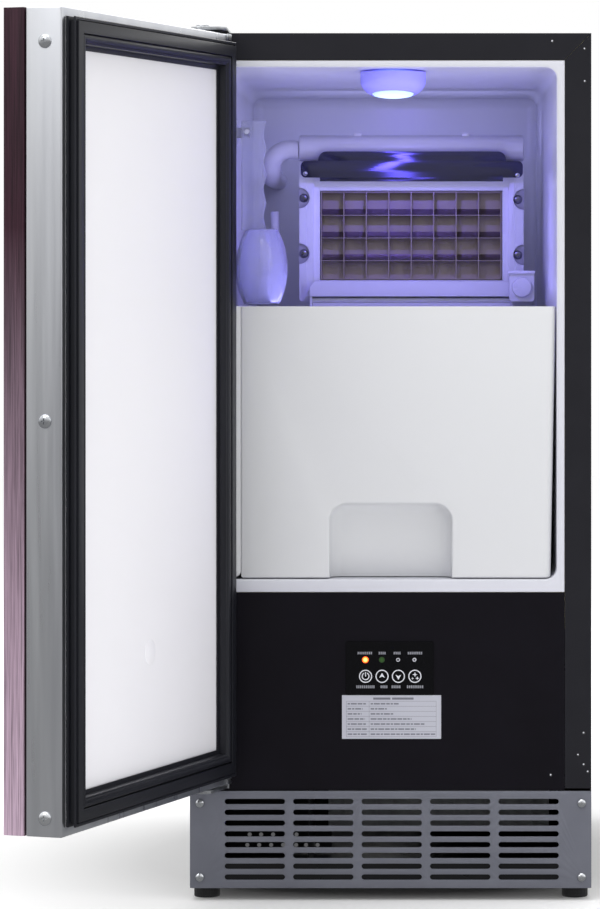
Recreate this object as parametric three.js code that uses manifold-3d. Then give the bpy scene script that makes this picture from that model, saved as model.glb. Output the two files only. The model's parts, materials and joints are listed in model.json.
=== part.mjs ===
// Under-counter clear-ice maker with a hinged, wood-fronted door.
// Millimetres, +Z up. The parts are drawn in the cabinet's own coordinates: X runs right from its
// centre line, Y runs back from its front plane and Z runs up from the floor. The last lines move
// the whole object so that its origin is the bottom centre of its bounding box, door open.

import * as THREE from "three";
import { mergeVertices } from "three/addons/utils/BufferGeometryUtils.js";
import Module from "manifold-3d";

const wasm = await Module();
wasm.setup();

// ---- driving dimensions ----
const WIDTH = 373; // cabinet, a 15 in class unit
const HEIGHT = 806; // cabinet, 31.75 in
const DEPTH = 545; // cabinet without its door
const GAP = 0.3; // left between two pieces that touch
const SHEET = 1.2; // folded sheet metal
const HALF = WIDTH / 2;

const FOOT_HEIGHT = 11.2;
const FOOT_RADIUS = 12.25;
const FOOT_X = 172;
const FOOT_Y = [26, DEPTH - 30];

const FRAME_BORDER = 24.5; // black face frame beside the liner
const FRAME_BOTTOM = 104;
const FRAME_HOLES = [[150.3, 798.6], [180.3, 791.5], [180.5, 761.3], [179.5, 155.5],
  [174.2, 135.1], [179.5, 126.1], [183.3, 119.5]]; // spare holes for a right-hand hinge

const LINER = { half: 154.4, bottom: 298.4, top: 774.3, radius: 10.5, depth: 440, wall: 2.5 };
const LINER_TAPER = 5.9; // how much narrower each side is at the back wall
const FLANGE = { half: HALF - FRAME_BORDER - GAP, bottom: 286.3, top: 780.6, thick: 2 };
const FOAM_BOTTOM = 252;
const FOAM_BACK = 500;

const GRILLE = { bottom: FOOT_HEIGHT, top: 102, thick: 1.5 };
const SLOT = { length: 56.1, height: 5, columns: 5, rows: 8, pitchX: 63.6, pitchZ: 10.03, topZ: 92, x: 1 };
const GRILLE_SCREW = { x: 177.4, z: [90.2, 21.5], radius: 4.35 };

const PANEL_BUTTON_X = [-23.3, -8, 7.2, 22.5];
const LAMP_X = [-23.5, -8.2, 6.9, 22.1];
const BUTTON_Z = 208.3;
const LAMP_Z = 223.6;
const BUTTON_RADIUS = 6.2;
const OVERLAY = { x: [-41.7, 40], z: [190.9, 240.7], thick: 0.8 };
const LEGEND = { x: [-45.2, 46.9], z: [150.1, 190.6], thick: 0.3 };

const DOOR_OPEN = THREE.MathUtils.degToRad(109);
const HINGE = { x: -172.6, y: -33.5, pin: 3.4, hole: 3.9 };
const DOOR = { bottom: 112.4, top: 802.8, gap: 1, gasket: 10.3, pan: 32.7, wood: 18.9, shadow: 1.2 };
const DOOR_LIP = 7.5;
const GASKET_WIDTH = 26.5;

const BIN = { left: -139.2, right: 153.6, front: 2, back: 398, bottom: 299.3, top: 552, rim: 470 };
const BIN_DRAFT = Math.tan(THREE.MathUtils.degToRad(1.07));
const BIN_WALL = 2.5;
const BIN_PLAN_TAPER = 5.4; // the right wall leans in towards the back
const GRIP = { half: 57, top: 368.5, depth: 22 };

const ICE = { x: [-94, 130], z: [556, 695], y: 258 }; // evaporator module
const GRID = { x: [-72.4, 107.9], z: [577.8, 665.6], columns: 8, rows: 4, depth: 21 };
const TUBE = { radius: 13, y: 268, z: 709 };
const TRAY = { x: [-82.7, 118.9], y: [236, 256], z: [561, 575.5] };
const FLAP_AXIS = { y: 243, z: 557 };

const SCOOP = { y: 130, hookX: -139.5, hookZ: 719 };
const LAMP = { x: 1.8, y: 48 };
const FAN = { x: 45, z: 137, y: 219, radius: 80 };

// ---- finishes ----
const FINISH = {
  blackPaint: [0x1c1c22, 0.55, 0.2],
  shellPaint: [0x26262c, 0.6, 0.2],
  steel: [0xb4b6bc, 0.35, 0.9],
  zinc: [0xa9adb2, 0.4, 0.9],
  greySheet: [0x5a5c66, 0.5, 0.3],
  whitePlastic: [0xd9dbdf, 0.45, 0],
  linerPlastic: [0xe4e4ea, 0.5, 0],
  foam: [0xe6dcae, 0.95, 0],
  gloss: [0x0c0c10, 0.15, 0],
  label: [0xc9cacf, 0.6, 0],
  lightPipe: [0xf08a30, 0.3, 0],
  rubber: [0x2b2d36, 0.7, 0],
  wood: [0x5a3646, 0.5, 0],
  clear: [0xdfe8ee, 0.1, 0],
  lens: [0xd0f0ff, 0.2, 0],
  copper: [0xb87848, 0.35, 0.9],
  cellPlate: [0x9a90a0, 0.35, 0.7],
  darkSteel: [0x55566a, 0.3, 0.9],
  blackPlastic: [0x15151a, 0.6, 0],
};

// ---- shapes ----
const AXES = {
  x: [new THREE.Vector3(0, 1, 0), new THREE.Vector3(0, 0, 1), new THREE.Vector3(1, 0, 0)],
  y: [new THREE.Vector3(1, 0, 0), new THREE.Vector3(0, 0, 1), new THREE.Vector3(0, -1, 0)],
  z: [new THREE.Vector3(1, 0, 0), new THREE.Vector3(0, 1, 0), new THREE.Vector3(0, 0, 1)],
};

// An extruded outline. It is drawn as (y, z) for axis x, (x, z) for axis y and (x, y) for axis z.
function prism(shape, axis, low, high, curveSegments = 2) {
  const geometry = new THREE.ExtrudeGeometry(shape, { depth: high - low, bevelEnabled: false, curveSegments });
  const turn = new THREE.Matrix4().makeBasis(...AXES[axis]);
  const start = AXES[axis][2].clone().multiplyScalar(axis === "y" ? -high : low);
  return geometry.applyMatrix4(turn.setPosition(start));
}

function polygon(points) {
  return new THREE.Shape(points.map(([a, b]) => new THREE.Vector2(a, b)));
}

function roundedRect([a0, a1], [b0, b1], r) {
  const s = new THREE.Shape();
  s.absarc(a1 - r, b0 + r, r, -Math.PI / 2, 0);
  s.absarc(a1 - r, b1 - r, r, 0, Math.PI / 2);
  s.absarc(a0 + r, b1 - r, r, Math.PI / 2, Math.PI);
  s.absarc(a0 + r, b0 + r, r, Math.PI, 1.5 * Math.PI);
  return s;
}

function block([x0, x1], [y0, y1], [z0, z1]) {
  const box = new THREE.BoxGeometry(x1 - x0, y1 - y0, z1 - z0);
  return box.translate((x0 + x1) / 2, (y0 + y1) / 2, (z0 + z1) / 2);
}

function rod(axis, radius, low, high, at, sides = 20) {
  const [a, b] = at;
  const circle = new THREE.Shape();
  circle.absarc(a, b, radius, 0, 2 * Math.PI);
  return prism(circle, axis, low, high, sides / 2);
}

// A turned piece about a vertical axis, from [radius, z] points that start and end on the axis, or
// that come back to the first point.
function turned(profile, [x, y], sides = 20) {
  const points = profile.map(([r, z]) => new THREE.Vector2(r, z));
  if (THREE.ShapeUtils.area(points) < 0) points.reverse();
  const lathe = new THREE.LatheGeometry(points, sides);
  return lathe.rotateX(Math.PI / 2).translate(x, y, 0);
}

// A closed skin through rings of points, each ring drawn the same way round.
function loft(rings) {
  const n = rings[0].length;
  const positions = rings.flat(2);
  const index = [];
  for (let r = 0; r + 1 < rings.length; r++) {
    for (let i = 0; i < n; i++) {
      const a = r * n + i;
      const b = r * n + (i + 1) % n;
      index.push(a, b, b + n, a, b + n, a + n);
    }
  }
  const last = (rings.length - 1) * n;
  for (let i = 1; i + 1 < n; i++) {
    index.push(0, i + 1, i, last, last + i, last + i + 1);
  }
  return indexed(positions, index);
}

// A frame with mitred corners: the profile's [inset, height] points are carried round a rectangle.
function mitredFrame([u0, u1], [z0, z1], base, profile) {
  const n = profile.length;
  const positions = [];
  const corners = [[u0, z0, 1, 1], [u1, z0, -1, 1], [u1, z1, -1, -1], [u0, z1, 1, -1]];
  for (const [u, z, du, dz] of corners) {
    for (const [inset, height] of profile) positions.push(u + du * inset, base + height, z + dz * inset);
  }
  const index = [];
  for (let c = 0; c < 4; c++) {
    for (let i = 0; i < n; i++) {
      const a = c * n + i;
      const b = c * n + (i + 1) % n;
      const a2 = ((c + 1) % 4) * n + i;
      const b2 = ((c + 1) % 4) * n + (i + 1) % n;
      index.push(a, b2, a2, a, b, b2);
    }
  }
  return indexed(positions, index);
}

function indexed(positions, index) {
  const geometry = new THREE.BufferGeometry();
  geometry.setAttribute("position", new THREE.Float32BufferAttribute(positions, 3));
  geometry.setIndex(index);
  return geometry;
}

// ---- booleans ----
function solid(shape) {
  if (!(shape instanceof THREE.BufferGeometry)) return shape;
  const bare = shape.clone();
  bare.deleteAttribute("normal");
  bare.deleteAttribute("uv");
  const merged = mergeVertices(bare, 1e-4);
  const corners = [];
  const old = merged.index.array;
  for (let i = 0; i < old.length; i += 3) {
    const [a, b, c] = old.slice(i, i + 3);
    if (a !== b && b !== c && c !== a) corners.push(a, b, c); // a pole's triangles have no area
  }
  const made = new wasm.Manifold(new wasm.Mesh({
    numProp: 3,
    vertProperties: new Float32Array(merged.attributes.position.array),
    triVerts: new Uint32Array(corners),
  }));
  if (made.volume() > 0) return made;
  throw new Error("a shape is inside out or flat");
}

const join = (...shapes) => shapes.map(solid).reduce((a, b) => a.add(b));
const cut = (shape, ...tools) => tools.map(solid).reduce((a, b) => a.subtract(b), solid(shape));
const common = (a, b) => solid(a).intersect(solid(b));

function geometryOf(shape) {
  const mesh = solid(shape).getMesh();
  const geometry = new THREE.BufferGeometry();
  geometry.setAttribute("position", new THREE.BufferAttribute(new Float32Array(mesh.vertProperties), 3));
  geometry.setIndex(new THREE.BufferAttribute(new Uint32Array(mesh.triVerts), 1));
  return geometry;
}

const cabinet = new THREE.Group();
const door = new THREE.Group();
let home = cabinet;

function part(name, shape, finish) {
  const [color, roughness, metalness] = FINISH[finish];
  const mesh = new THREE.Mesh(geometryOf(shape), new THREE.MeshStandardMaterial({ color, roughness, metalness }));
  mesh.name = name;
  home.add(mesh);
}

// ---- outer case ----
function sidePanel(side) {
  const outer = side * HALF;
  const span = (a, b) => [Math.min(a, b), Math.max(a, b)];
  const sheet = block(span(outer, outer - side * SHEET), [0, DEPTH - SHEET - GAP], [FOOT_HEIGHT + GAP, HEIGHT]);
  const inner = side * (HALF - FRAME_BORDER);
  const mitre = HEIGHT - FRAME_BORDER - GAP;
  const border = polygon([[outer, FRAME_BOTTOM], [inner, FRAME_BOTTOM], [inner, mitre], [outer, HEIGHT - GAP]]);
  const holes = FRAME_HOLES.filter(([x]) => side > 0 && x > HALF - FRAME_BORDER)
    .map(([x, z]) => rod("y", 1.8, -1, 3, [x, z], 8));
  return cut(join(sheet, prism(border, "y", 0, SHEET)), ...holes);
}

function topPanel() {
  const edge = HALF - SHEET - GAP;
  const sheet = block([-edge, edge], [0, DEPTH - SHEET - GAP], [HEIGHT - SHEET, HEIGHT]);
  const low = FLANGE.top + GAP;
  const inner = HALF - (HEIGHT - low);
  const border = polygon([[-edge, HEIGHT - SHEET], [-inner, low], [inner, low], [edge, HEIGHT - SHEET]]);
  const hole = rod("y", 1.8, -1, 3, FRAME_HOLES[0], 8);
  return cut(join(sheet, prism(border, "y", 0, SHEET)), hole);
}

function slotGrid(columns, rows, pitchX, pitchZ, x0, topZ, length, height) {
  const slots = [];
  for (let c = 0; c < columns; c++) {
    for (let r = 0; r < rows; r++) {
      const x = x0 + (c - (columns - 1) / 2) * pitchX;
      const z = topZ - r * pitchZ;
      slots.push(roundedRect([x - length / 2, x + length / 2], [z - height / 2, z + height / 2], height / 2 - 0.001));
    }
  }
  return slots;
}

function rearCover() {
  const sheet = roundedRect([-HALF, HALF], [FOOT_HEIGHT + GAP, FOAM_BOTTOM - GAP], 2);
  sheet.holes = slotGrid(3, 6, 84, 16, -20, 215, 64, 6);
  const inlet = block([118, 148], [DEPTH - 5, DEPTH + 5], [42, 64]);
  const water = rod("y", 13, DEPTH - 5, DEPTH + 5, [-140, 100], 16);
  return cut(prism(sheet, "y", DEPTH - SHEET, DEPTH, 1), inlet, water);
}

function basePan() {
  const x = HALF - SHEET - GAP;
  const floor = FOOT_HEIGHT + GAP;
  const outer = block([-x, x], [GAP, DEPTH - SHEET - GAP], [floor, floor + 24]);
  const inner = block([-x + SHEET, x - SHEET], [GAP + SHEET, DEPTH - 2 * SHEET - GAP], [floor + SHEET, floor + 30]);
  const holes = [];
  for (const fx of [-FOOT_X, FOOT_X]) {
    for (const fy of FOOT_Y) holes.push(rod("z", 4.6, floor - 1, floor + 3, [fx, fy], 12));
  }
  return cut(outer, inner, ...holes);
}

function foot(x, y) {
  const stud = FOOT_HEIGHT + 16;
  return turned([[0, 0], [FOOT_RADIUS - 1, 0], [FOOT_RADIUS, 1], [FOOT_RADIUS, FOOT_HEIGHT - 1],
    [FOOT_RADIUS - 1, FOOT_HEIGHT], [4, FOOT_HEIGHT], [4, stud], [0, stud]], [x, y]);
}

// ---- insulated box ----
function cavityRing(y, grow, inset = 0) {
  const t = y / LINER.depth;
  const half = LINER.half - LINER_TAPER * t + grow - inset;
  const low = LINER.bottom - grow + inset;
  const high = LINER.top - 6.6 * t + grow - inset;
  const ring = roundedRect([-half, half], [low, high], LINER.radius + grow).getPoints(2);
  return ring.slice(0, -1).reverse().map((p) => [p.x, y, p.y]);
}

function cavity(grow, front) {
  const rings = [cavityRing(front, grow), cavityRing(LINER.depth - 12, grow), cavityRing(LINER.depth + grow, grow, 10)];
  return loft(rings);
}

function linerShell() {
  const flange = block([-FLANGE.half, FLANGE.half], [0, FLANGE.thick], [FLANGE.bottom, FLANGE.top]);
  return cut(join(flange, cavity(LINER.wall, 0.5)), cavity(0, -2));
}

function foamBlock() {
  const x = HALF - SHEET - 0.6;
  const outer = block([-x, x], [FLANGE.thick + GAP, FOAM_BACK], [FOAM_BOTTOM, HEIGHT - SHEET - 0.6]);
  return cut(outer, cavity(LINER.wall + 0.4, 0));
}

// The white strip beside the bin on the hinge side: it keeps the bin clear of the open door.
function guideStrip() {
  const wallAt = (y) => -LINER.half + LINER_TAPER * y / LINER.depth + 0.5;
  const right = BIN.left - 0.7;
  const front = BIN.front + 0.5;
  const bottom = LINER.bottom + 1.4;
  const section = (y) => {
    const wall = wallAt(y);
    const foot = Math.min(wall + 9.5, right - 0.5); // clears the liner's rounded floor edge
    return [[wall, y, BIN.top], [wall, y, bottom + 10], [foot, y, bottom + 0.5], [right, y, bottom], [right, y, BIN.top]];
  };
  const hollow = block([-160, right - 2.5], [front + 3, BIN.back - 3], [bottom + 12, BIN.top - 2.5]);
  return cut(loft([section(front), section(BIN.back)].reverse()), hollow);
}

// ---- lower front ----
function lowerPanel() {
  const plate = roundedRect([-FLANGE.half, FLANGE.half], [GRILLE.top + GAP, FLANGE.bottom - GAP], 0.5);
  const window = block([-32, 31], [-1, 3], [200, 230]);
  const spare = rod("y", 1.8, -1, 3, [148.9, 116.4], 8);
  return cut(prism(plate, "y", 0, SHEET, 1), window, spare);
}

function overlay() {
  const plate = roundedRect(OVERLAY.x, OVERLAY.z, 2);
  const holes = PANEL_BUTTON_X.map((x) => rod("y", BUTTON_RADIUS + 0.3, -3, 1, [x, BUTTON_Z], 16));
  const lamps = LAMP_X.map((x) => rod("y", 2.1, -3, 1, [x, LAMP_Z], 10));
  return cut(prism(plate, "y", -OVERLAY.thick - GAP, -GAP), ...holes, ...lamps);
}

function lightPipe() {
  const bar = block([-31, 30], [4, 7], [LAMP_Z - 3, LAMP_Z + 3]);
  return join(bar, ...LAMP_X.map((x) => rod("y", 1.8, -OVERLAY.thick - GAP, 5, [x, LAMP_Z], 10)));
}

function button(x) {
  const cap = rod("y", BUTTON_RADIUS, -OVERLAY.thick - GAP - 0.2, 4, [x, BUTTON_Z], 24);
  return join(cap, rod("y", BUTTON_RADIUS + 0.9, 3, 4, [x, BUTTON_Z], 16));
}

function kickGrille() {
  const plate = roundedRect([-HALF, HALF], [GRILLE.bottom + GAP, GRILLE.top - GAP], 1);
  plate.holes = slotGrid(SLOT.columns, SLOT.rows, SLOT.pitchX, SLOT.pitchZ, SLOT.x, SLOT.topZ, SLOT.length, SLOT.height);
  const holes = [];
  for (const x of [-GRILLE_SCREW.x, GRILLE_SCREW.x]) {
    for (const z of GRILLE_SCREW.z) holes.push(rod("y", 2.3, -5, 1, [x, z], 8));
  }
  return cut(prism(plate, "y", -GRILLE.thick - GAP, -GAP, 1), ...holes);
}

function grilleScrew(x, z) {
  const front = -GRILLE.thick - 2 * GAP;
  const head = new THREE.SphereGeometry(GRILLE_SCREW.radius, 16, 8).scale(1, 0.62, 1).translate(x, front, z);
  const dome = common(head, block([x - 6, x + 6], [front - 5, front], [z - 6, z + 6]));
  return join(dome, rod("y", 1.9, front - 0.5, -0.1, [x, z], 8));
}

// ---- hinges ----
function hingePlate(z0, z1, back) {
  const plate = new THREE.Shape();
  plate.absarc(HINGE.x, HINGE.y, 11, Math.PI, 2 * Math.PI);
  plate.lineTo(-150, back);
  plate.lineTo(HINGE.x - 11, back);
  return prism(plate, "z", z0, z1, 4);
}

function topBracket() {
  const plate = hingePlate(HEIGHT + GAP, HEIGHT + 3.3, 46);
  return cut(plate, rod("z", HINGE.pin + 0.3, HEIGHT - 1, HEIGHT + 5, [HINGE.x, HINGE.y], 16));
}

function topPin() {
  const top = HEIGHT + 3.6;
  return turned([[0, DOOR.top - 14], [HINGE.pin, DOOR.top - 14], [HINGE.pin, top], [6.5, top],
    [6.5, top + 1], [5.6, top + 1.9], [0, top + 1.9]], [HINGE.x, HINGE.y], 16);
}

function bottomBracket() {
  const z = 104.5;
  const plate = hingePlate(z, z + 3, -GAP);
  const leg = block([HINGE.x - 11, -150], [-3.3, -GAP], [z, 111.8]);
  const pin = rod("z", HINGE.pin, z, DOOR.bottom + 13, [HINGE.x, HINGE.y], 16);
  return join(plate, leg, pin);
}

// ---- door, drawn shut and measured from its hinge axis ----
const doorU = [-HALF - HINGE.x, HALF - HINGE.x];
const doorZ = [DOOR.bottom, DOOR.top];
const gasketFace = -HINGE.y - DOOR.gap;
const panBack = gasketFace - DOOR.gasket - GAP;
const panFront = panBack - DOOR.pan;
const inset = ([low, high], by) => [low + by, high - by];

function doorPan() {
  const outer = block(doorU, [panFront, panBack], doorZ);
  const hollow = block(inset(doorU, SHEET), [panFront + SHEET, panBack - SHEET], inset(doorZ, SHEET));
  const opening = block(inset(doorU, DOOR_LIP), [panBack - 5, panBack + 5], inset(doorZ, DOOR_LIP));
  return cut(outer, hollow, opening, rod("z", HINGE.hole, 0, 900, [0, 0], 16));
}

function doorFoam() {
  const body = block(inset(doorU, SHEET + GAP), [panFront + SHEET + GAP, panBack - 4.4], inset(doorZ, SHEET + GAP));
  const wells = [[doorZ[0], doorZ[0] + 18], [doorZ[1] - 18, doorZ[1]]];
  return cut(body, ...wells.map(([a, b]) => rod("z", 7, a, b, [0, 0], 12)));
}

function innerPanel() {
  const by = DOOR_LIP + GAP;
  const plate = block(inset(doorU, by), [panBack - 4, panBack - 0.2], inset(doorZ, by));
  const plug = rod("y", 11, panBack - 1, panBack + 0.4, [(doorU[0] + doorU[1]) / 2, 250], 20);
  return join(plate, plug);
}

function gasket() {
  const h = DOOR.gasket;
  const profile = [[0, 0], [0, h - 1.4], [0.5, h - 0.4], [1.6, h], [16.8, h], [17.8, h - 0.6], [18.2, h - 4.5],
    [19.2, h - 4.5], [19.6, h - 2], [21, h - 0.8], [23, h - 0.5], [24.8, h - 1.6], [25.8, h - 4], [GASKET_WIDTH, 1.5],
    [GASKET_WIDTH, 0]];
  return mitredFrame(inset(doorU, DOOR_LIP + 0.5), inset(doorZ, DOOR_LIP + 0.5), panBack + GAP, profile);
}

function woodPanel() {
  const back = panFront - GAP;
  const front = back - DOOR.shadow - DOOR.wood;
  const board = roundedRect(doorU, [front, back - DOOR.shadow], 0.8);
  const pad = block(inset(doorU, 3), [back - DOOR.shadow - 1, back], inset(doorZ, 3));
  return join(prism(board, "z", doorZ[0], doorZ[1], 2), pad);
}

// ---- inside the ice chamber ----
function ceilingAt(y) {
  return LINER.top - 6.6 * y / LINER.depth;
}

function lampHousing(x, y) {
  const top = ceilingAt(y) - 0.9;
  return turned([[19.9, top], [31, top], [31, top - 10], [29.8, top - 14], [26, top - 18], [22.5, top - 20],
    [19.9, top - 20.6], [19.9, top]], [x, y], 28);
}

function lampLens(x, y) {
  const top = ceilingAt(y) - 3;
  return turned([[0, top], [19.5, top], [19.5, top - 17.2], [14, top - 19.4], [7, top - 20.4], [0, top - 20.8]], [x, y], 24);
}

function evaporatorFrame() {
  const outer = prism(roundedRect(ICE.x, ICE.z, 3), "y", ICE.y, ICE.y + 27, 2);
  const step = prism(roundedRect(inset(GRID.x, -7), inset(GRID.z, -6), 2), "y", ICE.y - 1, ICE.y + 3, 2);
  const window = block(inset(GRID.x, -0.8), [ICE.y - 1, ICE.y + 40], inset(GRID.z, -0.8));
  return cut(outer, step, window);
}

function evaporatorGrid() {
  const y = [ICE.y + 4.5, ICE.y + 4.5 + GRID.depth];
  const plates = [block(GRID.x, [y[1] - 1.2, y[1]], GRID.z)];
  const stepX = (GRID.x[1] - GRID.x[0] - 1) / GRID.columns;
  for (let i = 0; i <= GRID.columns; i++) {
    const x = GRID.x[0] + i * stepX;
    plates.push(block([x, x + 1], y, GRID.z));
  }
  const stepZ = (GRID.z[1] - GRID.z[0] - 1) / GRID.rows;
  for (let j = 0; j <= GRID.rows; j++) {
    const z = GRID.z[0] + j * stepZ;
    plates.push(block(GRID.x, y, [z, z + 1]));
  }
  return join(...plates);
}

function distributorTube() {
  const { radius, y, z } = TUBE;
  const bumps = [[-40, -32], [68, 76]].map((x) => block(x, [y - 5, y + 5], [z + 8, z + radius + 2.5]));
  return join(rod("x", radius, ICE.x[0], ICE.x[1], [y, z], 24), ...bumps);
}

function distributorHose() {
  const start = ICE.x[0] - 1;
  const points = [[start, TUBE.y, 707], [start - 13, TUBE.y, 707], [-119, TUBE.y + 2, 700],
    [-122.5, TUBE.y + 14, 687], [-122.5, 310, 681], [-122.5, LINER.depth - 1, 681]];
  const path = new THREE.CatmullRomCurve3(points.map((p) => new THREE.Vector3(...p)));
  const section = new THREE.Shape();
  section.absarc(0, 0, 9.5, 0, 2 * Math.PI);
  return new THREE.ExtrudeGeometry(section, { steps: 20, extrudePath: path, curveSegments: 6, bevelEnabled: false });
}

function splashBar() {
  const face = prism(roundedRect([-92, 128.8], [677, 695.5], 9), "y", 244, 245.5, 3);
  const rear = prism(polygon([[-74.5, 685], [112, 685], [112, 701], [107, 705], [-69.5, 705], [-74.5, 701]]), "y", 245.2, 246.8);
  const lip = block([-73, 109], [244, 250], [675.2, 677.2]);
  const arms = [-60, 96].map((x) => block([x, x + 6], [245, ICE.y - GAP], [684, 688]));
  return join(face, rear, lip, ...arms);
}

function waterTray() {
  const [x0, x1] = TRAY.x;
  const [z0, z1] = TRAY.z;
  const outline = polygon([[x0, z0], [x1, z0], [x1, z1 - 5], [x1 - 5, z1], [x0 + 5, z1], [x0, z1 - 5]]);
  const body = prism(outline, "y", ...TRAY.y);
  const trough = block([x0 + 3, x1 - 3], [TRAY.y[0] + 2.5, TRAY.y[1] - 2.5], [z0 + 3, z1 + 5]);
  const lugs = [[x0, x0 + 2.5], [x1 - 2.5, x1]].map((x) => block(x, [238, 248], [551, z0 + 2]));
  return cut(join(body, ...lugs), trough, rod("x", 2.4, x0 - 1, x1 + 1, [FLAP_AXIS.y, FLAP_AXIS.z], 12));
}

function iceFlap() {
  const span = inset(TRAY.x, 2.9);
  const barrel = rod("x", 2.6, ...span, [FLAP_AXIS.y, FLAP_AXIS.z], 12);
  const pins = rod("x", 1.9, ...inset(TRAY.x, 0.3), [FLAP_AXIS.y, FLAP_AXIS.z], 12);
  return join(barrel, pins, block(span, [FLAP_AXIS.y - 1, FLAP_AXIS.y + 1], [490, FLAP_AXIS.z]));
}

function switchBox() {
  const plate = prism(roundedRect([115, 139.5], [556, 585.4], 3), "y", 222, 234);
  const body = block([122, 139.5], [233, ICE.y - GAP], [558, 583]);
  const boss = rod("y", 9.8, 217, 223, [127.2, 571], 20);
  return join(plate, body, boss);
}

function sump() {
  const outer = prism(roundedRect([-90, 125], [249, 340], 8), "z", 480, 550);
  return cut(outer, prism(roundedRect([-87.5, 122.5], [251.5, 337.5], 6), "z", 482.5, 560));
}

function circulationPump() {
  return turned([[0, 478], [22, 478], [26, 482], [26, 505], [20, 508], [20, 545], [12, 548], [12, 552], [0, 552]],
    [-45, 372]);
}

function scoop() {
  const { y, hookX, hookZ } = SCOOP;
  const handle = new THREE.Shape();
  handle.moveTo(-145, 620);
  handle.lineTo(-124, 620);
  for (let grip = 0; grip < 4; grip++) {
    const z = 628 + grip * 21;
    handle.quadraticCurveTo(-119, z + 6, -123.5, z + 17);
  }
  handle.absarc(-134, 720, 10.5, 0, Math.PI);
  handle.lineTo(-145, 620);
  const grip = prism(handle, "y", y - 6, y + 6);
  const side = new THREE.Shape();
  side.moveTo(-150.5, 553);
  side.lineTo(-105, 553);
  side.quadraticCurveTo(-99.5, 572, -100.5, 592);
  side.quadraticCurveTo(-104, 614, -122, 630);
  side.lineTo(-145, 630);
  side.lineTo(-150.5, 610);
  const bowl = (wall) => common(
    prism(roundedRect([-150.5 + wall, -60], [y - 35 + wall, y + 35 - wall], 13 - wall), "z", 553 - wall, 640),
    prism(side, "y", y - 60, y + 60, 4),
  );
  const scooped = common(bowl(2.2), block([-155, -50], [0, 300], [500, 612]));
  const mouth = block([-148.3, -60], [y - 20, y + 20], [540, 560]);
  return cut(join(cut(bowl(0), scooped, mouth), grip), rod("y", 3.2, y - 20, y + 20, [hookX, hookZ], 12));
}

function scoopHook() {
  const { y, hookX, hookZ } = SCOOP;
  const arm = block([-151.6, hookX + 3], [y + 8, y + 12], [hookZ - 5, hookZ + 5]);
  const plate = block([-151.8, -150], [y - 4, y + 20], [hookZ - 12, hookZ + 12]);
  return join(arm, plate, rod("y", 2.4, y - 8, y + 10, [hookX, hookZ + 0.4], 12));
}

// ---- machine compartment ----
function compressor() {
  const at = [98, 432];
  const shell = turned([[0, 30], [66, 30], [72, 36], [72, 120], [70, 150], [58, 180], [36, 196], [0, 202]], at, 24);
  const inside = turned([[0, 44], [60, 44], [60, 140], [50, 165], [30, 182], [0, 186]], at, 16);
  const suction = rod("z", 4, 170, 210, at, 8);
  return cut(join(shell, block([26, 170], [362, 502], [26, 32])), inside, suction);
}

function condenserCoil() {
  const x = [-62, 152];
  const core = block(x, [168, 178], [44, 238]);
  const fins = [];
  for (let i = 0; i <= 14; i++) {
    const at = x[0] + i * (x[1] - x[0] - 1.5) / 14;
    fins.push(block([at, at + 1.5], [157, 189], [42, 240]));
  }
  return join(core, ...fins);
}

function fanBracket() {
  const { x, z, radius } = FAN;
  const plate = cut(block([x - 105, x + 105], [198, 200], [40, 236]), rod("y", radius + 5, 190, 210, [x, z], 32));
  const ring = cut(rod("y", 37, 240, 243, [x, z], 20), rod("y", 31, 235, 250, [x, z], 20));
  const struts = [-1, 1].flatMap((s) => [
    block([x + s * 92 - 4, x + s * 92 + 4], [199, 243], [z - 5, z + 5]),
    block([Math.min(x + s * 34, x + s * 96), Math.max(x + s * 34, x + s * 96)], [240, 243], [z - 5, z + 5]),
  ]);
  return join(plate, ring, ...struts);
}

function fanMotor() {
  const { x, z } = FAN;
  return join(rod("y", 30, 238, 282, [x, z], 20), rod("y", 3, 206, 240, [x, z], 10));
}

function fanBlade() {
  const { x, y, z, radius } = FAN;
  const pieces = [rod("y", 16, y - 8, y + 10, [x, z], 20)];
  for (let i = 0; i < 5; i++) {
    const blade = new THREE.BoxGeometry(radius - 12, 1.6, 40).translate((radius - 12) / 2 + 12, 0, 0);
    blade.rotateX(0.42).rotateY(i * 2 * Math.PI / 5).translate(x, y + 1, z);
    pieces.push(blade);
  }
  return cut(join(...pieces), rod("y", 3.4, 180, 260, [x, z], 10));
}

function drainPump() {
  const tank = prism(roundedRect([-165, -95], [300, 380], 6), "z", 16, 78);
  return join(tank, rod("z", 20, 70, 120, [-130, 340], 16));
}

function waterValve() {
  return join(rod("y", 12, DEPTH - 45, DEPTH + 12, [-140, 100], 16), block([-158, -122], [DEPTH - 60, DEPTH - 20], [86, 132]));
}

function mainsInlet() {
  const body = block([118.5, 147.5], [DEPTH - 24, DEPTH + 3], [42.5, 63.5]);
  const well = block([121, 145], [DEPTH - 14, DEPTH + 5], [45, 61]);
  const pins = [-7, 0, 7].map((d) => block([132 + d, 134 + d], [DEPTH - 20, DEPTH - 2], [50, 56]));
  return join(cut(body, well), ...pins);
}

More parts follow.
